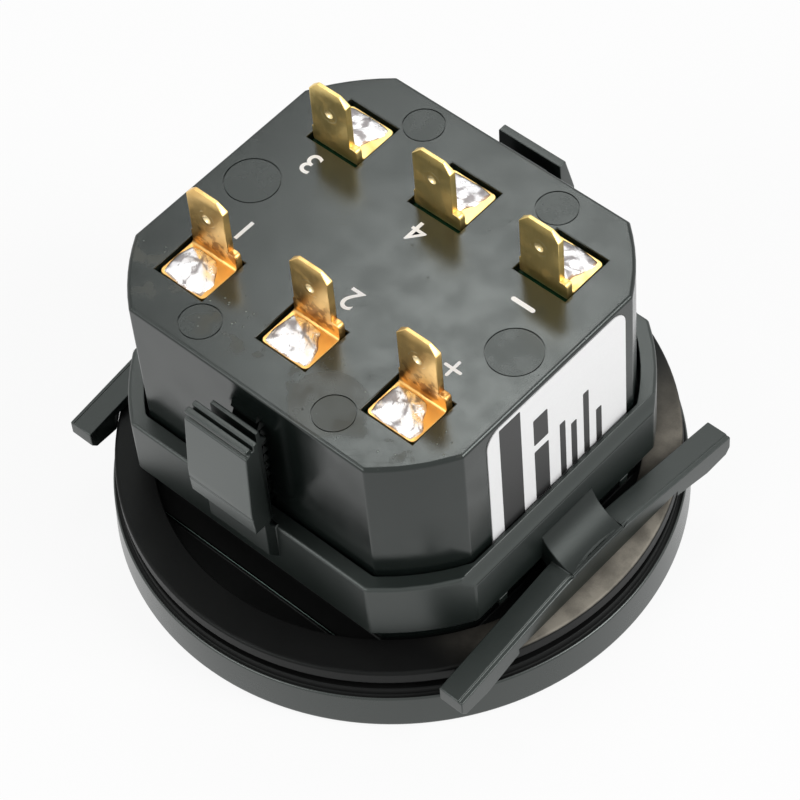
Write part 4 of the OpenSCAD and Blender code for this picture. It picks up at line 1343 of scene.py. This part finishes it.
def closed_field(rows, bottom):
    """Closes a grid of heights with a rim and a flat underside."""
    count = len(rows)
    last = count - 1
    cells = [cell for row in rows for cell in row]
    border = [(i, 0) for i in range(count)] + [(last, j) for j in range(1, count)]
    border += [(i, last) for i in range(last - 1, -1, -1)] + [(0, j) for j in range(last - 1, 0, -1)]
    edge = [i * count + j for i, j in border]
    base, around = len(cells), len(edge)
    corners = [i * count + j for i in range(last) for j in range(last)]
    faces = [(k, k + count, k + count + 1, k + 1) for k in corners]
    faces += [(edge[k], edge[(k + 1) % around], base + (k + 1) % around, base + k) for k in range(around)]
    faces.append(tuple(range(base, base + around)))
    mesh = bpy.data.meshes.new("mound")
    mesh.from_pydata([cell[0] for cell in cells] + [(*cells[k][0][:2], bottom) for k in edge], [], faces)
    for place, field in ((1, "crumple_and_shade"), (2, "burnt")):
        values = mesh.attributes.new(field, "FLOAT", "POINT")
        values.data.foreach_set("value", [cell[place] for cell in cells] + [0.0] * around)
    return face_out(placed("mound", mesh))


# %% Place six mounds
for number, (x, y, side) in enumerate(blade_places, 1):
    shape = closed_field(mound(number, x, y + side * 3.25, side), foot_top - 0.05)
    deliver(shape, f"solder_{number}", solder_skin, ["solder_joints"] if number == 1 else [])


# %% [markdown]
# ## The label
# A white label with rounded corners is stuck on the wall beside the lower row. Its print is
# reduced to a black band and plain bars, raised by a hair so that they are real shapes.
# %% Label
LABEL_CORNER = 1.8
BAR_CORNER = 0.15
PRINT_T = 0.02
label_low, label_high = box_mm("rating_label")


def rounded_plate(low, high, radius, thickness, face_x):
    """A plate on the +X wall between two (y, z) corners, with rounded corners."""
    (y0, z0), (y1, z1) = low, high
    middles = [(y1 - radius, z1 - radius), (y0 + radius, z1 - radius), (y0 + radius, z0 + radius),
               (y1 - radius, z0 + radius)]
    outline = []
    for quarter, (y, z) in enumerate(middles):
        outline += arc(y, z, radius, 90 * quarter, 90 * quarter + 90, 6)
    return prism(outline, "X", face_x, face_x + thickness)


label = rounded_plate(label_low.yz, label_high.yz, LABEL_CORNER, label_high.x - label_low.x, label_low.x)
deliver(label, "label", finish["label_vinyl"], ["rating_label"])


# %% Print on the label
# Each bar is (y from, y to, z from, z to), in millimetres. The first is the band.
bars = [(-7.2, -4.3, label_low.z + 0.02, label_high.z - 0.4), (-2.6, -0.6, 18.0, 25.4),
        (-2.6, -0.6, 26.4, 30.2), (1.0, 1.8, 18.0, 26.0), (2.6, 3.4, 18.0, 24.5), (4.4, 5.2, 18.0, 27.2),
        (6.2, 7.0, 18.0, 23.0)]
inked = [rounded_plate((y0, z0), (y1, z1), BAR_CORNER, PRINT_T, label_high.x - 0.005)
         for y0, y1, z0, z1 in bars]
deliver(combine(inked[0], "UNION", inked[1:]), "label_print", finish["label_print"])


# %% [markdown]
# ## Print on the rear face
# Plain numbers stand by four of the blades, and a plus and a minus by the other two. They read
# from the far side, so each is turned by half a turn. Real pad print has thickness, and so do
# these: text made solid, then turned into a mesh.
# %% Numbers and signs
MARK_SIZE = 3.6
numbers = [("1", -12.8, -4.9), ("2", 0.7, -4.7), ("3", -13.6, 5.2), ("4", 0.1, 5.15)]


def stroke(x, y, length, width, turn=0):
    """A bar of ink centred at (x, y), with rounded ends. It lies along X unless it is turned."""
    end = width / 2
    outline = arc(length / 2 - end, 0, end, -90, 90, 6) + arc(end - length / 2, 0, end, 90, 270, 6)
    return moved(prism(outline, "Z", rear_z - 0.005, rear_z + PRINT_T), x, y, turn=turn)


def plus(x, y, size, width):
    return combine(stroke(x, y, size, width), "UNION", [stroke(x, y, size, width, math.pi / 2)])


def printed(text, x, y):
    """A character as a thin mesh on the rear face, centred at (x, y) and turned by half a turn."""
    curve = bpy.data.curves.new("print", "FONT")
    curve.body = text
    curve.size = MARK_SIZE
    curve.align_x = "CENTER"
    curve.align_y = "CENTER"
    curve.extrude = PRINT_T / 2
    curve.offset = 0.02
    letter = placed("print", curve)
    shape = placed("print", evaluated(letter))
    bpy.data.objects.remove(letter)
    return face_out(moved(shape, x, y, rear_z + PRINT_T / 2, math.pi))


for text, x, y in numbers:
    deliver(printed(text, x, y), f"number_{text}", finish["pad_print"])
deliver(plus(13.4, -5.0, 2.1, 0.34), "plus_sign", finish["pad_print"])
deliver(stroke(13.5, 4.7, 2.8, 0.5), "minus_sign", finish["pad_print"])


# %% [markdown]
# ## Finishes of the pieces behind
# The inner pieces keep the frame's own shapes, which are exact. Only their finish is given here.
# %% Paint the frame's own pieces
painted = {
    "lens_seal": "black_rubber", "dial_plate": "dial_paint", "lcd_glass": "display_glass",
    "lcd_frame": "white_resin", "light_guide": "milky_acrylic", "zebra_upper": "striped_rubber",
    "zebra_lower": "striped_rubber", "main_board": "green_lacquer", "terminal_board": "green_lacquer",
    "processor": "chip_epoxy", "memory_chip": "chip_epoxy", "crystal": "crystal_can",
    "voltage_regulator": "chip_epoxy", "capacitor": "capacitor_aluminium", "backlight_leds": "lamp_epoxy",
    "header_socket": "socket_plastic", "pin_header": "socket_plastic", "surge_varistor": "blue_epoxy",
    "board_screws": "screw_zinc",
}
for node, name in painted.items():
    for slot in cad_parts[node].material_slots:
        slot.material = finish[name]
print("painted", len(painted), "pieces of the frame")


# %% [markdown]
# ## Light and floor
# The instrument lies on a white sweep under soft light. The floor and the room look plain white
# to the camera and in reflections, and still take the object's soft shadow.
# %% Floor
FLOOR_HALF = 2.0
FLOOR_Z = -0.05 * MM


def plainly_white(net, camera_share=1.0):
    """1 for rays that mirrors or glass send, camera_share for the camera's own, and 0 for all others."""
    camera_ray, glossy_ray, through_ray = [net.node("ShaderNodeLightPath", {}, {}, f"Is {kind} Ray")
                                           for kind in ("Camera", "Glossy", "Transmission")]
    either = camera_ray * camera_share + glossy_ray
    return net.node("ShaderNodeMath", {"operation": "ADD", "use_clamp": True}, {0: either, 1: through_ray})


def pale_floor():
    """A floor that is mostly plain white to the camera, and keeps some of the shadow."""
    material = bpy.data.materials.new("floor")
    material.use_nodes = True
    net = Net(material.node_tree)
    matt = net.node("ShaderNodeBsdfDiffuse", {}, {"Color": grey(0.86)})
    glow = net.node("ShaderNodeEmission", {}, {"Color": grey(1.0)})
    mixed = net.node("ShaderNodeMixShader", {}, {0: plainly_white(net, 0.9), 1: matt, 2: glow})
    net.end("ShaderNodeOutputMaterial", {"Surface": mixed})
    return material


mesh = bpy.data.meshes.new("floor")
corners = [(-1, -1), (1, -1), (1, 1), (-1, 1)]
mesh.from_pydata([(x * FLOOR_HALF, y * FLOOR_HALF, FLOOR_Z) for x, y in corners], [], [(0, 1, 2, 3)])
mesh.materials.append(pale_floor())
floor = placed("floor", mesh)
print(f"floor {2 * FLOOR_HALF} m wide, {-FLOOR_Z / MM:.2f} mm below the rim")


# %% Room light
ROOM_STRENGTH = 0.32


def room_light(strength):
    """An even room. To the camera, and in metal and glass, it is plain white."""
    world = bpy.data.worlds.new("room")
    bpy.context.scene.world = world
    world.use_nodes = True
    net = Net(world.node_tree)
    white = plainly_white(net)
    level = net.node("ShaderNodeMapRange", {}, {"Value": white, "To Min": strength, "To Max": 1.0})
    sky = net.node("ShaderNodeBackground", {}, {"Color": grey(1.0), "Strength": level})
    net.end("ShaderNodeOutputWorld", {"Surface": sky})


room_light(ROOM_STRENGTH)
print("room light:", ROOM_STRENGTH)


# %% Lamps
def soft_lamp(name, place, size, power):
    """An area lamp that points at the middle of the object. Places are in millimetres, sizes in metres."""
    lamp = bpy.data.lights.new(name, "AREA")
    lamp.shape = "RECTANGLE"
    lamp.size, lamp.size_y = size
    lamp.energy = power
    holder = placed(name, lamp)
    holder.location = Vector(place) * MM
    holder.rotation_euler = (AIM - holder.location).to_track_quat("-Z", "Y").to_euler()


soft_lamp("window light", (-180, 300, 560), (0.24, 0.24), 0.42)
soft_lamp("skylight", (-275, 278, 560), (0.1, 0.1), 0.15)
soft_lamp("side light", (520, 200, 420), (0.3, 0.4), 3.0)
soft_lamp("front light", (-150, -560, 380), (0.4, 0.3), 1.6)
soft_lamp("rim light", (-330, -200, 640), (0.1, 0.1), 0.2)
bpy.context.scene.view_settings.view_transform = "Standard"
print("lamps:", [light.name for light in bpy.data.lights])
